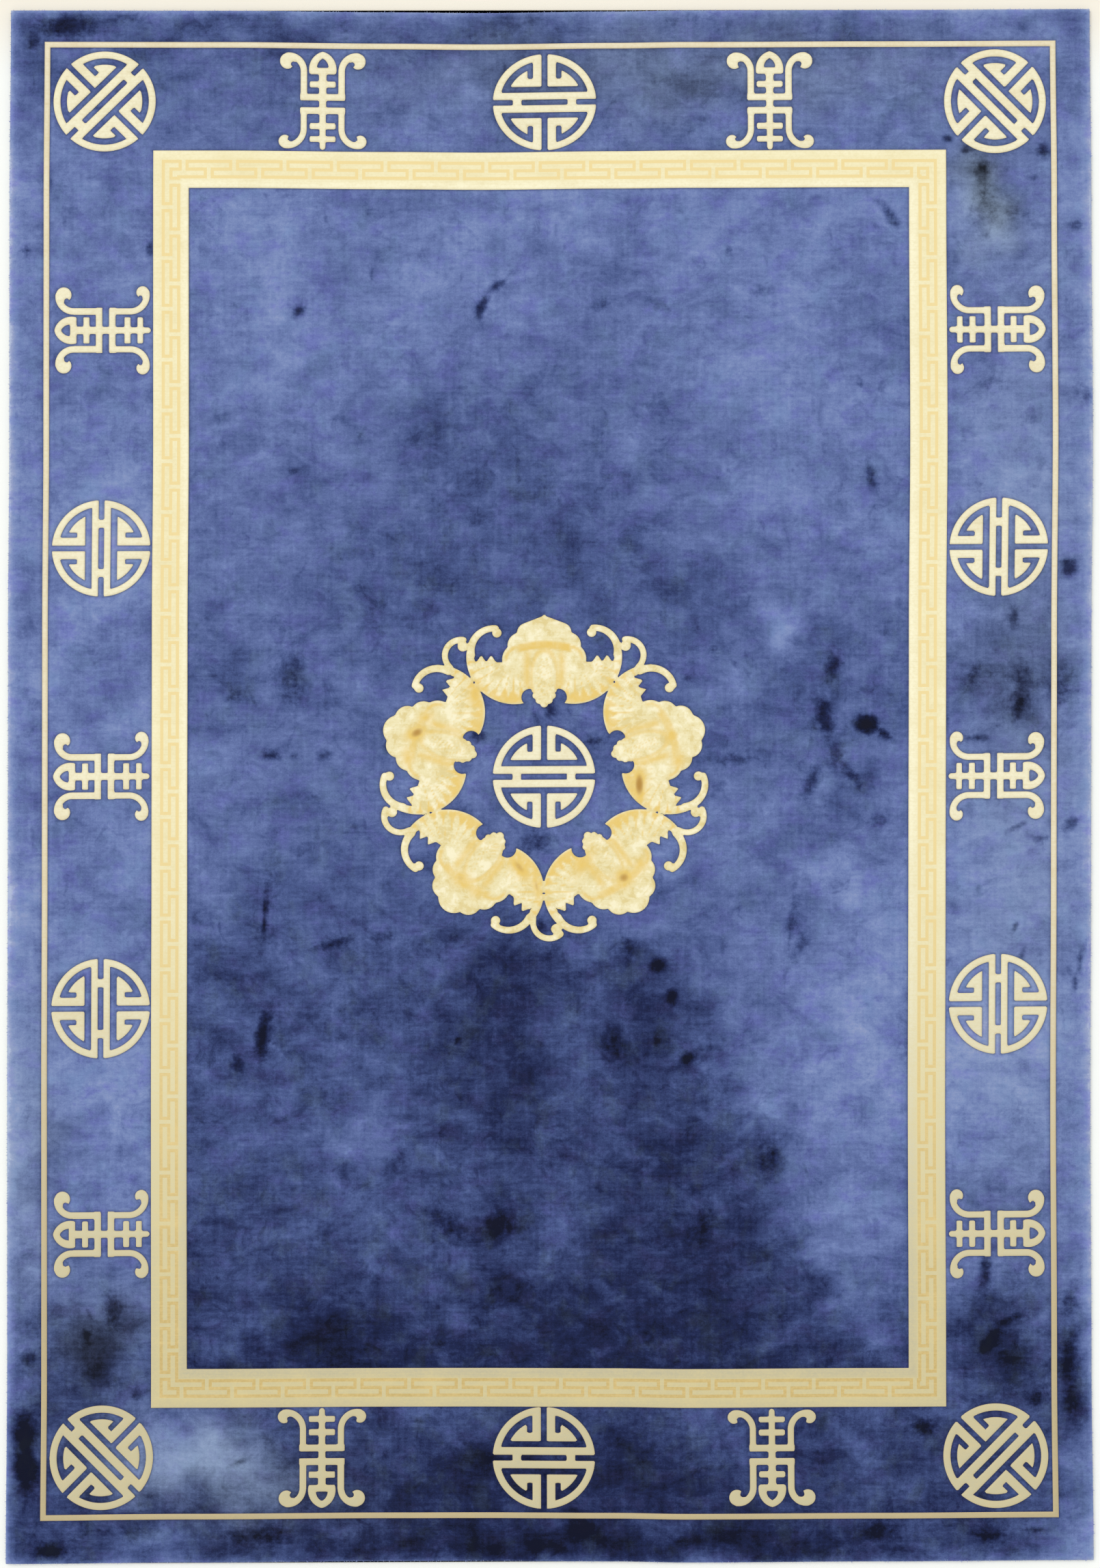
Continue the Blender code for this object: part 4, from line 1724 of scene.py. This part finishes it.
class Finishes:
    """The rug's yarns."""

    def __init__(self) -> None:
        """Makes every yarn once."""
        self.blue = Yarn(Colour.BLUE, Slot.BLUE, BlueSilk().material())
        self.cream = self.pale(
            Slot.CREAM,
            "clipped_cream_silk",
            (248, 242, 208),
            (188, 180, 148),
            (218, 202, 148),
            gold=(226, 210, 146),
        )
        self.sign = self.pale(
            Slot.CREAM, "clipped_sign_silk", (240, 234, 202), (196, 188, 153), (210, 192, 142)
        )
        self.figure = self.pale(
            Slot.CREAM,
            "clipped_figure_silk",
            (238, 228, 184),
            (230, 218, 170),
            (214, 192, 120),
            gold=(229, 196, 106),
            ochre=(178, 134, 60),
            worn_gold=0.74,
            speckle=0.58,
        )
        self.guard = self.pale(
            Slot.CREAM, "clipped_guard_silk", (232, 223, 194), (182, 169, 133), (204, 182, 132)
        )
        self.gold = self.pale(
            Slot.GOLD, "clipped_gold_silk", (236, 220, 166), (170, 150, 98), (232, 214, 162)
        )
        self.cloth = Yarn(Colour.BLUE, Slot.CLOTH, GroundCloth().material())

    def pale(self, slot: Slot, *look: object, **more: object) -> Yarn:
        """A pale yarn of the given slot and look."""
        return Yarn(Colour.CREAM, slot, PaleSilk(*look, **more).material())


def read_points(mesh: bpy.types.Mesh) -> Array:
    """The places of a mesh's points, one row each.

    Args:
        mesh: The mesh.

    Returns:
        The places in metres.
    """
    points = np.zeros(len(mesh.vertices) * 3, np.float32)
    mesh.vertices.foreach_get("co", points)
    return points.reshape(-1, 3).astype(float)


def write_points(mesh: bpy.types.Mesh, points: Array) -> None:
    """Moves a mesh's points to new places, given one row each."""
    mesh.vertices.foreach_set("co", points.astype(np.float32).ravel())


def taken(mesh: bpy.types.Mesh, name: str) -> Array:
    """Reads a number that a mesh may hold for each point, and removes it there.

    Args:
        mesh: The mesh.
        name: The number's name.

    Returns:
        The numbers, all 0 where the mesh holds none of that name.
    """
    values = np.zeros(len(mesh.vertices), np.float32)
    held = mesh.attributes.get(name)
    if held is not None:
        held.data.foreach_get("value", values)
        mesh.attributes.remove(held)
    return values


@dataclass
class RugMaker:
    """Turns closed sheets of the drawing into finished pieces of the rug."""

    weave: Weave
    relief: Relief
    nap: NapLightAndShade
    pieces: list[bpy.types.Object] = field(default_factory=list)
    crease: float = math.radians(50.0)
    inner_depth: float = 0.0009
    # Widths over which the painted shade of the carved edges fades, on blue and on pale pile.
    blue_shade_span: Spot = (0.0032, 0.0002)
    cream_shade_span: Spot = (0.0026, 0.0)

    def finish(self, sheet: PileSheet, name: str, yarn: Yarn) -> bpy.types.Object:
        """Closes a sheet, gives its points their real places and tones, and makes the piece.

        Args:
            sheet: The piece's faces in the straight drawing.
            name: The piece's name.
            yarn: What it is knotted of.

        Returns:
            The finished object.
        """
        mesh = bpy.data.meshes.new(name)
        sheet.close(0.0).mesh.to_mesh(mesh)
        sheet.mesh.free()
        x, y, level = read_points(mesh).T
        reach = taken(mesh, PileSheet.REACH)
        inner_drop = taken(mesh, PileSheet.CUT) * self.inner_depth
        to_edge = np.minimum(self.weave.edge_reach(x, y), np.abs(reach))
        top = self.weave.thickness + self.relief.flat(x, y) - self.relief.drop(to_edge, yarn.colour)
        top -= self.relief.rounded(-self.weave.rim.outside(x, y)) + inner_drop
        self.tint(mesh, x, y, to_edge, yarn.colour)
        height = np.where(level > 0.5, top, self.weave.foundation)
        for number, step in enumerate(self.relief.wall):
            height = np.where(np.abs(level + number + 1.0) < 0.5, step.height, height)
        write_points(mesh, np.column_stack((*self.weave.woven(x, y), height)))
        mesh.update()
        return self.dress(mesh, name, yarn)

    def tint(self, mesh: bpy.types.Mesh, x: Array, y: Array, to_edge: Array, colour: Colour) -> None:
        """Writes the numbers that the materials read for each point.

        Args:
            mesh: The piece's mesh.
            x: Its points' places across the rug.
            y: Their places along the rug.
            to_edge: Their distances from the nearest carved edge.
            colour: The side of the carved edges that the piece is on.
        """
        shoulder = self.blue_shade_span if colour is Colour.BLUE else self.cream_shade_span
        in_field = self.weave.band_inner.outside(x, y) < 0.001
        numbers = {
            # Painted shade along the carved edges.
            "carved": smooth(*shoulder, to_edge),
            # Painted light and shade of the nap, with a painted highlight along the rim.
            "tone": self.nap.tone(x, y, in_field, self.weave.rim),
            # Painted shade of finger and brush marks in the nap.
            "spot": self.nap.spot(x, y),
            "greyed": self.nap.greyed(x, y),
        }
        for name, values in numbers.items():
            held = mesh.attributes.new(name, "FLOAT", "POINT")
            held.data.foreach_set("value", values.astype(np.float32))

    def dress(self, mesh: bpy.types.Mesh, name: str, yarn: Yarn) -> bpy.types.Object:
        """Makes an object of a finished mesh and ties it to the rug.

        Args:
            mesh: The mesh.
            name: The piece's name.
            yarn: What it is made of.

        Returns:
            The object.
        """
        mesh.shade_smooth()
        mesh.set_sharp_from_angle(angle=self.crease)
        mesh.materials.append(yarn.material)
        piece = bpy.data.objects.new(name, mesh)
        bpy.context.scene.collection.objects.link(piece)
        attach(piece, BODY)
        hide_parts(NODE)
        self.pieces.append(piece)
        triangles = sum(len(polygon.vertices) - 2 for polygon in mesh.polygons)
        LOG.info("%s: %d triangles", name, triangles)
        return piece


@dataclass
class BorderGround:
    """The border between the guard line and the band: its blue ground and its signs."""

    maker: RugMaker
    finishes: Finishes
    signs: BorderSigns
    fine: float = 0.0026
    coarse: float = 0.0080
    levels: tuple[float, ...] = (0.0, -0.0022, 0.0026)

    def strips(self) -> dict[str, Lines]:
        """The four stretches of the border by name.

        Returns:
            Each stretch's rectangle.
        """
        outer = self.maker.weave.guard_inner
        band = self.maker.weave.band_outer
        return {
            "top": Lines(outer.left, outer.right, band.top, outer.top),
            "bottom": Lines(outer.left, outer.right, outer.bottom, band.bottom),
            "left": Lines(outer.left, band.left, band.bottom, band.top),
            "right": Lines(band.right, outer.right, band.bottom, band.top),
        }

    def build(self) -> None:
        """Makes the four stretches of ground, and the round and the long signs."""
        rounds: list[PileSheet] = []
        longs: list[PileSheet] = []
        for side, area in self.strips().items():
            near = self.signs.near(area)
            across = ruled(area.left, area.right, self.signs.spans(near, False), self.fine, self.coarse)
            along = ruled(area.bottom, area.top, self.signs.spans(near, True), self.fine, self.coarse)
            sheet = PileSheet(across, along)
            sheet.cut_out(lambda x, y: self.signs.reach(near, x, y), self.levels)
            inside = sheet.face_reach() < 0.0
            is_long = self.signs.long_at(near, *sheet.middles())
            rounds.append(sheet.copy().drop(~(inside & ~is_long)))
            longs.append(sheet.copy().drop(~(inside & is_long)))
            ground = sheet.drop(inside)
            self.maker.finish(ground, f"border_ground_{side}", self.finishes.blue)
        for name, sheets in (("round_signs", rounds), ("long_signs", longs)):
            self.maker.finish(joined(sheets), name, self.finishes.sign)


def joined(sheets: Sequence[PileSheet]) -> PileSheet:
    """One sheet with the faces of several.

    Args:
        sheets: The sheets, of which the first takes up the others.

    Returns:
        The first sheet.
    """
    first = sheets[0]
    for other in sheets[1:]:
        held = bpy.data.meshes.new("joined")
        other.mesh.to_mesh(held)
        other.mesh.free()
        first.mesh.from_mesh(held)
        bpy.data.meshes.remove(held)
    return first


@dataclass
class Field:
    """The plain middle of the rug with its medallion of bats."""

    maker: RugMaker
    finishes: Finishes
    medallion: Medallion
    sign: RoundSign = RoundSign()
    cell: float = 0.0055
    fine: float = 0.0026
    levels: tuple[float, ...] = (0.0, -0.0022, 0.0026)
    clear: float = 0.01

    @property
    def tile(self) -> Lines:
        """The square of fine cells round the medallion."""
        bats = self.medallion
        return Lines(bats.x - bats.half, bats.x + bats.half, bats.y - bats.half, bats.y + bats.half)

    def build(self) -> None:
        """Makes the field, the medallion's ground, the bats and the middle sign."""
        self.build_field()
        tile = self.tile
        sheet = PileSheet(
            evenly(tile.left, tile.right, self.fine),
            evenly(tile.bottom, tile.top, self.fine),
        )
        bats = self.medallion
        sheet.cut_out(
            lambda x, y: union(bats.reach(x, y), self.sign.reach(x - bats.x, y - bats.y)),
            self.levels,
        )
        inside = sheet.face_reach() < 0.0
        x, y = sheet.middles()
        central = np.hypot(x - bats.x, y - bats.y) < self.sign.radius + self.clear
        self.finish_bats(sheet.copy().drop(~(inside & ~central)))
        centre = sheet.copy().drop(~(inside & central))
        self.maker.finish(centre, "middle_sign", self.finishes.sign)
        self.maker.finish(sheet.drop(inside), "medallion_ground", self.finishes.blue)

    def build_field(self) -> None:
        """Makes the blue field round the medallion's square."""
        area = self.maker.weave.band_inner
        tile = self.tile
        furrow = self.maker.relief.furrow_places
        sides = []
        for low, high, first, last in (
            (area.left, area.right, tile.left, tile.right),
            (area.bottom, area.top, tile.bottom, tile.top),
        ):
            fixed = [first, last]
            for place in furrow:
                fixed += [low + place, high - place]
            sides.append(with_lines(evenly(low, high, self.cell), fixed, self.cell / 2))
        sheet = PileSheet(*sides).hollow(tile)
        self.maker.finish(sheet, "field_pile", self.finishes.blue)

    def finish_bats(self, sheet: PileSheet) -> None:
        """Makes the bats, with their gold shading and the lines carved between their parts.

        Args:
            sheet: The bats' faces.
        """
        x, y = sheet.places()
        gold, cut = self.medallion.shading(x, y)
        sheet.write("gold", gold)
        sheet.write(PileSheet.CUT, cut)
        self.maker.finish(sheet, "bats", self.finishes.figure)


@dataclass
class Band:
    """The cream band between border and field, with its faint gold key fret."""

    maker: RugMaker
    finishes: Finishes
    line: float = 0.0050
    rise: float = 0.0121
    stem: float = 0.0055
    periods_across: int = 15
    periods_along: int = 24
    apart: float = 0.0006
    among_gold: float = 0.20
    outside_gold: float = 0.12

    @property
    def middle(self) -> Lines:
        """The rectangle along the middle of the band.

        Returns:
            The rectangle.
        """
        outer = self.maker.weave.band_outer
        inner = self.maker.weave.band_inner
        return Lines(
            (outer.left + inner.left) / 2,
            (outer.right + inner.right) / 2,
            (outer.bottom + inner.bottom) / 2,
            (outer.top + inner.top) / 2,
        )

    def half_periods(self, along: bool) -> tuple[float, float, int]:
        """The fret's repeats along a side.

        Args:
            along: Whether it is a side along the rug's length.

        Returns:
            Where the fret starts, how long half a repeat is, and how many halves there are.
        """
        middle = self.middle
        low, high = (middle.bottom, middle.top) if along else (middle.left, middle.right)
        count = 2 * (self.periods_along if along else self.periods_across)
        return low, (high - low) / count, count

    def fret(self, x: Array, y: Array) -> Array:
        """Whether places lie on the fret's line.

        The line runs on without a break: along the outer level over each inner stem, down
        beside the next outer stem to the middle level, and down beside the inner stem to
        the inner level.

        Args:
            x: Places across the drawing.
            y: Places along the drawing.

        Returns:
            True where they do.
        """
        middle = self.middle
        level = middle.outside(x, y)
        beyond_sides = np.maximum(middle.left - x, x - middle.right)
        upright = beyond_sides >= np.maximum(middle.bottom - y, y - middle.top)
        half = self.line / 2
        found = np.zeros(x.shape, bool)
        for along, mine, place in ((False, ~upright, x), (True, upright, y)):
            low, step, count = self.half_periods(along)
            number = np.clip(np.floor((place - low) / step), 0, count - 1)
            away = np.abs(place - low - (number + 0.5) * step)
            outer_stem = np.mod(number, 2) == 0
            beside = np.abs(away - self.stem) < half
            clear = away > self.stem - half
            outer_line = (np.abs(level - self.rise) < half) & (clear | ~outer_stem)
            inner_line = (np.abs(level + self.rise) < half) & (clear | outer_stem)
            middle_line = (np.abs(level) < half) & clear
            signed = np.where(outer_stem, level, -level)
            wall = beside & (signed > -half) & (signed < self.rise + half)
            found |= mine & (outer_line | inner_line | middle_line | wall)
        return found

    def warmth(self, x: Array, y: Array) -> Array:
        """How golden the cream is: most between the fret's lines, and a little outside them.

        Args:
            x: Places across the drawing.
            y: Places along the drawing.

        Returns:
            Shares of gold.
        """
        level = self.middle.outside(x, y)
        among = smooth(self.rise + 0.0070, self.rise + 0.0020, np.abs(level))
        outside = smooth(0.0, self.rise, level) * (1.0 - among)
        return self.among_gold * among + self.outside_gold * outside

    def cross_lines(self, outer: float, inner: float, middle: float) -> list[float]:
        """Lines along one side of the band: its shoulders and the edges of the fret's levels.

        Args:
            outer: The place of the side's outer edge.
            inner: The place of its inner edge.
            middle: The place of its middle line.

        Returns:
            The lines' places.
        """
        inward = math.copysign(1.0, inner - outer)
        lines = []
        for place in self.maker.relief.edge_places:
            lines += [outer + inward * place, inner - inward * place]
        for level in (-self.rise, 0.0, self.rise):
            lines += [middle + level - self.line / 2, middle + level + self.line / 2]
        return lines

    def stem_lines(self, along: bool) -> list[float]:
        """Lines along the walls beside each stem of the fret.

        Args:
            along: Whether they stand on the sides along the rug's length.

        Returns:
            The lines' places.
        """
        low, step, count = self.half_periods(along)
        lines = []
        for number in range(count):
            at = low + (number + 0.5) * step
            for side in (-1, 1):
                wall = at + side * self.stem
                lines += [wall - self.line / 2, wall + self.line / 2]
        return lines

    def build(self) -> None:
        """Makes the cream band and the gold fret in it."""
        outer = self.maker.weave.band_outer
        inner = self.maker.weave.band_inner
        middle = self.middle
        across = self.cross_lines(outer.left, inner.left, middle.left)
        across += self.cross_lines(outer.right, inner.right, middle.right) + self.stem_lines(False)
        along = self.cross_lines(outer.bottom, inner.bottom, middle.bottom)
        along += self.cross_lines(outer.top, inner.top, middle.top) + self.stem_lines(True)
        sheet = PileSheet(thinned(across, self.apart), thinned(along, self.apart)).hollow(inner)
        sheet.write("gold", self.warmth(*sheet.places()))
        fret = self.fret(*sheet.middles())
        gold = sheet.copy().drop(~fret)
        self.maker.finish(sheet.drop(fret), "inner_band", self.finishes.cream)
        self.maker.finish(gold, "key_fret", self.finishes.gold)


def thinned(lines: Iterable[float], apart: float) -> list[float]:
    """Places in order, without those that nearly repeat the one before.

    Args:
        lines: All the places.
        apart: How far a place has to be from the one before.

    Returns:
        The places that stay.
    """
    kept: list[float] = []
    for place in sorted(lines):
        if not kept or place - kept[-1] > apart:
            kept.append(place)
    return kept


@dataclass
class OuterBorder:
    """The outermost blue border, whose pile rounds over at the rim, and the guard line."""

    maker: RugMaker
    finishes: Finishes
    cell: float = 0.0080
    corner: float = 0.006
    clear: float = 0.01

    def lines(self, low: float, high: float, guard_low: float, guard_high: float) -> list[float]:
        """Ruled lines for one direction, with the shoulder's and the furrow's own.

        Args:
            low: The rug's outline at one end.
            high: Its outline at the other end.
            guard_low: The guard line's outer edge near the first end.
            guard_high: Its outer edge near the other end.

        Returns:
            The lines' places in order.
        """
        fixed = []
        for step in self.maker.relief.shoulder:
            fixed += [low + step.inset, high - step.inset]
        for place in self.maker.relief.furrow_places:
            fixed += [guard_low - place, guard_high + place]
        inset = self.maker.relief.shoulder[0].inset
        plain = evenly(low + inset, high - inset, self.cell)
        return with_lines(plain, fixed, self.cell / 3)

    def build(self) -> None:
        """Makes the outer border and the guard line."""
        weave = self.maker.weave
        rim = weave.rim
        edge = weave.guard_outer
        sheet = PileSheet(
            self.lines(rim.left, rim.right, edge.left, edge.right),
            self.lines(rim.bottom, rim.top, edge.bottom, edge.top),
        ).hollow(edge)
        self.turn_down(sheet)
        self.maker.finish(sheet, "outer_border_pile", self.finishes.blue)
        self.build_guard()

    def turn_down(self, sheet: PileSheet) -> None:
        """Rounds the sheet's outer corners and adds the rings of the rim's side.

        Args:
            sheet: The outer border's faces.
        """
        mesh = sheet.mesh
        weave = self.maker.weave
        corners = [vertex for vertex in mesh.verts if len(vertex.link_edges) == 2]
        bmesh.ops.bevel(
            mesh, geom=corners, offset=self.corner, segments=4, profile=0.5, affect="VERTICES", material=-1
        )
        ring_inset = self.maker.relief.shoulder[0].inset
        outer = [edge for edge in mesh.edges if edge.is_boundary and self.on_outside(edge)]
        for number, step in enumerate(self.maker.relief.wall):
            ring, outer = pulled_out(mesh, outer)
            widen_x = (weave.width / 2 - step.inset) / (weave.width / 2 - ring_inset)
            widen_y = (weave.length / 2 - step.inset) / (weave.length / 2 - ring_inset)
            bmesh.ops.scale(mesh, verts=ring, vec=(widen_x, widen_y, 1.0))
            for vertex in ring:
                vertex.co.z = -float(number + 1)
            ring_inset = step.inset

    def on_outside(self, edge: bmesh.types.BMEdge) -> bool:
        """Whether an edge lies outside the guard line.

        Args:
            edge: The edge.

        Returns:
            True where it does.
        """
        x, y = ((edge.verts[0].co + edge.verts[1].co) / 2)[:2]
        beyond = self.maker.weave.guard_outer.outside(np.array([x]), np.array([y]))
        return float(beyond[0]) > self.clear

    def build_guard(self) -> None:
        """Makes the thin cream guard line."""
        outer = self.maker.weave.guard_outer
        inner = self.maker.weave.guard_inner
        sides = []
        for low, low_in, high_in, high in (
            (outer.left, inner.left, inner.right, outer.right),
            (outer.bottom, inner.bottom, inner.top, outer.top),
        ):
            fixed = [low, low_in, high_in, high]
            for place in self.maker.relief.edge_places[1:]:
                fixed += [low + place, low_in - place, high_in + place, high - place]
            sides.append(with_lines(evenly(low, high, self.cell), fixed, self.cell / 3))
        sheet = PileSheet(*sides).hollow(inner)
        self.maker.finish(sheet, "guard_line", self.finishes.guard)


@dataclass
class RimTips:
    """The loose ends of pile that stand out along the rug's edges."""

    maker: RugMaker
    finishes: Finishes
    spacing: float = 0.0034
    base: float = 0.0009
    point: float = 0.0003
    shortest: float = 0.0030
    longest: float = 0.0046
    lean_degrees: Spot = (36.0, 78.0)
    turn_degrees: Spot = (-28.0, 28.0)
    insets: Spot = (0.0022, 0.0040)
    heights: Spot = (0.0048, 0.0076)
    unevenness: float = 0.4
    # A pale tone painted on the tips as painted light, where they stand out into the light.
    tone: float = 0.95
    seed: int = 7

    def build(self) -> None:
        """Makes all the tips as one piece."""
        draw = random.Random(self.seed)
        rim = self.maker.weave.rim
        mesh = bmesh.new()
        for outward, start, run, length in (
            (0.0, (rim.right, rim.bottom), (0.0, 1.0), rim.top - rim.bottom),
            (90.0, (rim.right, rim.top), (-1.0, 0.0), rim.right - rim.left),
            (180.0, (rim.left, rim.top), (0.0, -1.0), rim.top - rim.bottom),
            (270.0, (rim.left, rim.bottom), (1.0, 0.0), rim.right - rim.left),
        ):
            for number in range(1, round(length / self.spacing)):
                shift = draw.uniform(-self.unevenness, self.unevenness)
                at = number * self.spacing + shift * self.spacing
                spot = (start[0] + run[0] * at, start[1] + run[1] * at)
                self.tip(mesh, draw, spot, outward)
        data = bpy.data.meshes.new("rim_pile_tips")
        mesh.to_mesh(data)
        mesh.free()
        x, y, height = read_points(data).T
        x, y = self.maker.weave.woven(x, y)
        write_points(data, np.column_stack((x, y, height)))
        self.maker.tint(data, x, y, np.ones_like(x), Colour.BLUE)
        # Painted light: every tip takes the same pale tone in place of the nap's.
        data.attributes["tone"].data.foreach_set("value", np.full(len(x), self.tone, np.float32))
        self.maker.dress(data, "rim_pile_tips", self.finishes.blue)

    def tip(self, mesh: bmesh.types.BMesh, draw: random.Random, spot: Spot, outward: float) -> None:
        """Adds one tapering tuft, which leans outwards over the rim.

        Args:
            mesh: The mesh that takes it.
            draw: The source of its small differences.
            spot: Where it stands on the rug's outline.
            outward: The direction out of the rug, in degrees.
        """
        length = draw.uniform(self.shortest, self.longest)
        lean = math.radians(draw.uniform(*self.lean_degrees))
        bearing = math.radians(outward + draw.uniform(*self.turn_degrees))
        turn = Matrix.Rotation(bearing, 4, "Z") @ Matrix.Rotation(lean, 4, "Y")
        inset = draw.uniform(*self.insets)
        out = math.radians(outward)
        foot_x = spot[0] - inset * math.cos(out)
        foot_y = spot[1] - inset * math.sin(out)
        foot = (foot_x, foot_y, draw.uniform(*self.heights))
        place = Matrix.Translation(foot) @ turn @ Matrix.Translation((0.0, 0.0, length / 2))
        bmesh.ops.create_cone(
            mesh, cap_ends=True, segments=3, radius1=self.base, radius2=self.point, depth=length, matrix=place
        )


@dataclass
class Foundation:
    """The woven ground under the pile."""

    maker: RugMaker
    finishes: Finishes
    inset: float = 0.0016
    cell: float = 0.0500

    def build(self) -> None:
        weave = self.maker.weave
        area = weave.rim.grown(-self.inset)
        sheet = PileSheet(
            evenly(area.left, area.right, self.cell),
            evenly(area.bottom, area.top, self.cell),
        ).close(0.0)
        mesh = bpy.data.meshes.new("foundation")
        sheet.mesh.to_mesh(mesh)
        sheet.mesh.free()
        mesh.attributes.remove(mesh.attributes[PileSheet.REACH])
        for vertex in mesh.vertices:
            x, y = weave.woven(np.array([vertex.co.x]), np.array([vertex.co.y]))
            vertex.co = (float(x[0]), float(y[0]), vertex.co.z * weave.foundation)
        piece = self.maker.dress(mesh, "foundation", self.finishes.cloth)


@dataclass
class Studio:
    """The pale floor, the soft light and the camera straight above the rug."""

    middle: Spot = (0.0005, 0.0040)
    seen_length: float = 2.4595
    distance: float = 6.0
    sensor: float = 36.0
    sky: float = 0.76
    window: float = 1.10
    window_angle: float = 0.7
    floor_half: float = 12.0
    floor_level: float = -0.0002
    floor_plain: Tint = (247, 249, 244)
    floor_warm: Tint = (243, 237, 222)
    warm_from: Spot = (1.10, 1.235)
    warm_until: Spot = (2.0, 1.3)
    window_from: tuple[float, float, float] = (-0.33, 0.33, 0.88)

    def build(self, thickness: float) -> None:
        """Makes the floor, the light and the camera.

        Args:
            thickness: The rug's thickness, at whose height the camera's frame is fitted.
        """
        self.floor()
        self.light()
        camera = bpy.data.cameras.new("camera")
        camera.sensor_fit = "AUTO"
        camera.sensor_width = self.sensor
        camera.lens = self.sensor * self.distance / self.seen_length
        holder = bpy.data.objects.new("camera", camera)
        holder.location = (*self.middle, self.distance + thickness)
        bpy.context.scene.collection.objects.link(holder)
        bpy.context.scene.camera = holder
        bpy.context.scene.view_settings.view_transform = "Standard"

    def floor(self) -> None:
        """Makes the pale floor."""
        mesh = bmesh.new()
        bmesh.ops.create_grid(mesh, x_segments=1, y_segments=1, size=self.floor_half)
        data = bpy.data.meshes.new("floor")
        mesh.to_mesh(data)
        mesh.free()
        graph = Graph("pale_floor")
        warm = graph.step(graph.height(), *self.warm_from)
        warm = graph.math("MULTIPLY", warm, graph.step(graph.height(), *self.warm_until))
        colour = graph.mix(warm, linear(*self.floor_plain), linear(*self.floor_warm))
        data.materials.append(graph.finish(colour, 0.9, 0.0, 0.1))
        floor = bpy.data.objects.new("floor", data)
        floor.location = (0.0, 0.0, self.floor_level)
        bpy.context.scene.collection.objects.link(floor)

    def light(self) -> None:
        """Lights the rug softly from all round, and a little more from the upper left."""
        world = bpy.data.worlds.new("soft_daylight")
        world.use_nodes = True
        background = world.node_tree.nodes["Background"]
        background.inputs["Color"].default_value = (1.0, 1.0, 1.0, 1.0)
        background.inputs["Strength"].default_value = self.sky
        bpy.context.scene.world = world
        lamp = bpy.data.lights.new("window_light", "SUN")
        lamp.angle = self.window_angle
        lamp.energy = self.window
        holder = bpy.data.objects.new("window_light", lamp)
        holder.rotation_mode = "QUATERNION"
        holder.rotation_quaternion = Vector(self.window_from).to_track_quat("Z", "Y")
        bpy.context.scene.collection.objects.link(holder)


def main() -> None:
    """Builds the rug area by area, then its studio."""
    logging.basicConfig(level=logging.INFO, format="%(name)s: %(message)s")
    weave = Weave()
    finishes = Finishes()
    maker = RugMaker(weave, Relief(), NapLightAndShade())
    OuterBorder(maker, finishes).build()
    RimTips(maker, finishes).build()
    BorderGround(maker, finishes, BorderSigns(weave)).build()
    Band(maker, finishes).build()
    Field(maker, finishes, Medallion()).build()
    Foundation(maker, finishes).build()
    Studio().build(weave.thickness)


if __name__ == "__main__":
    main()
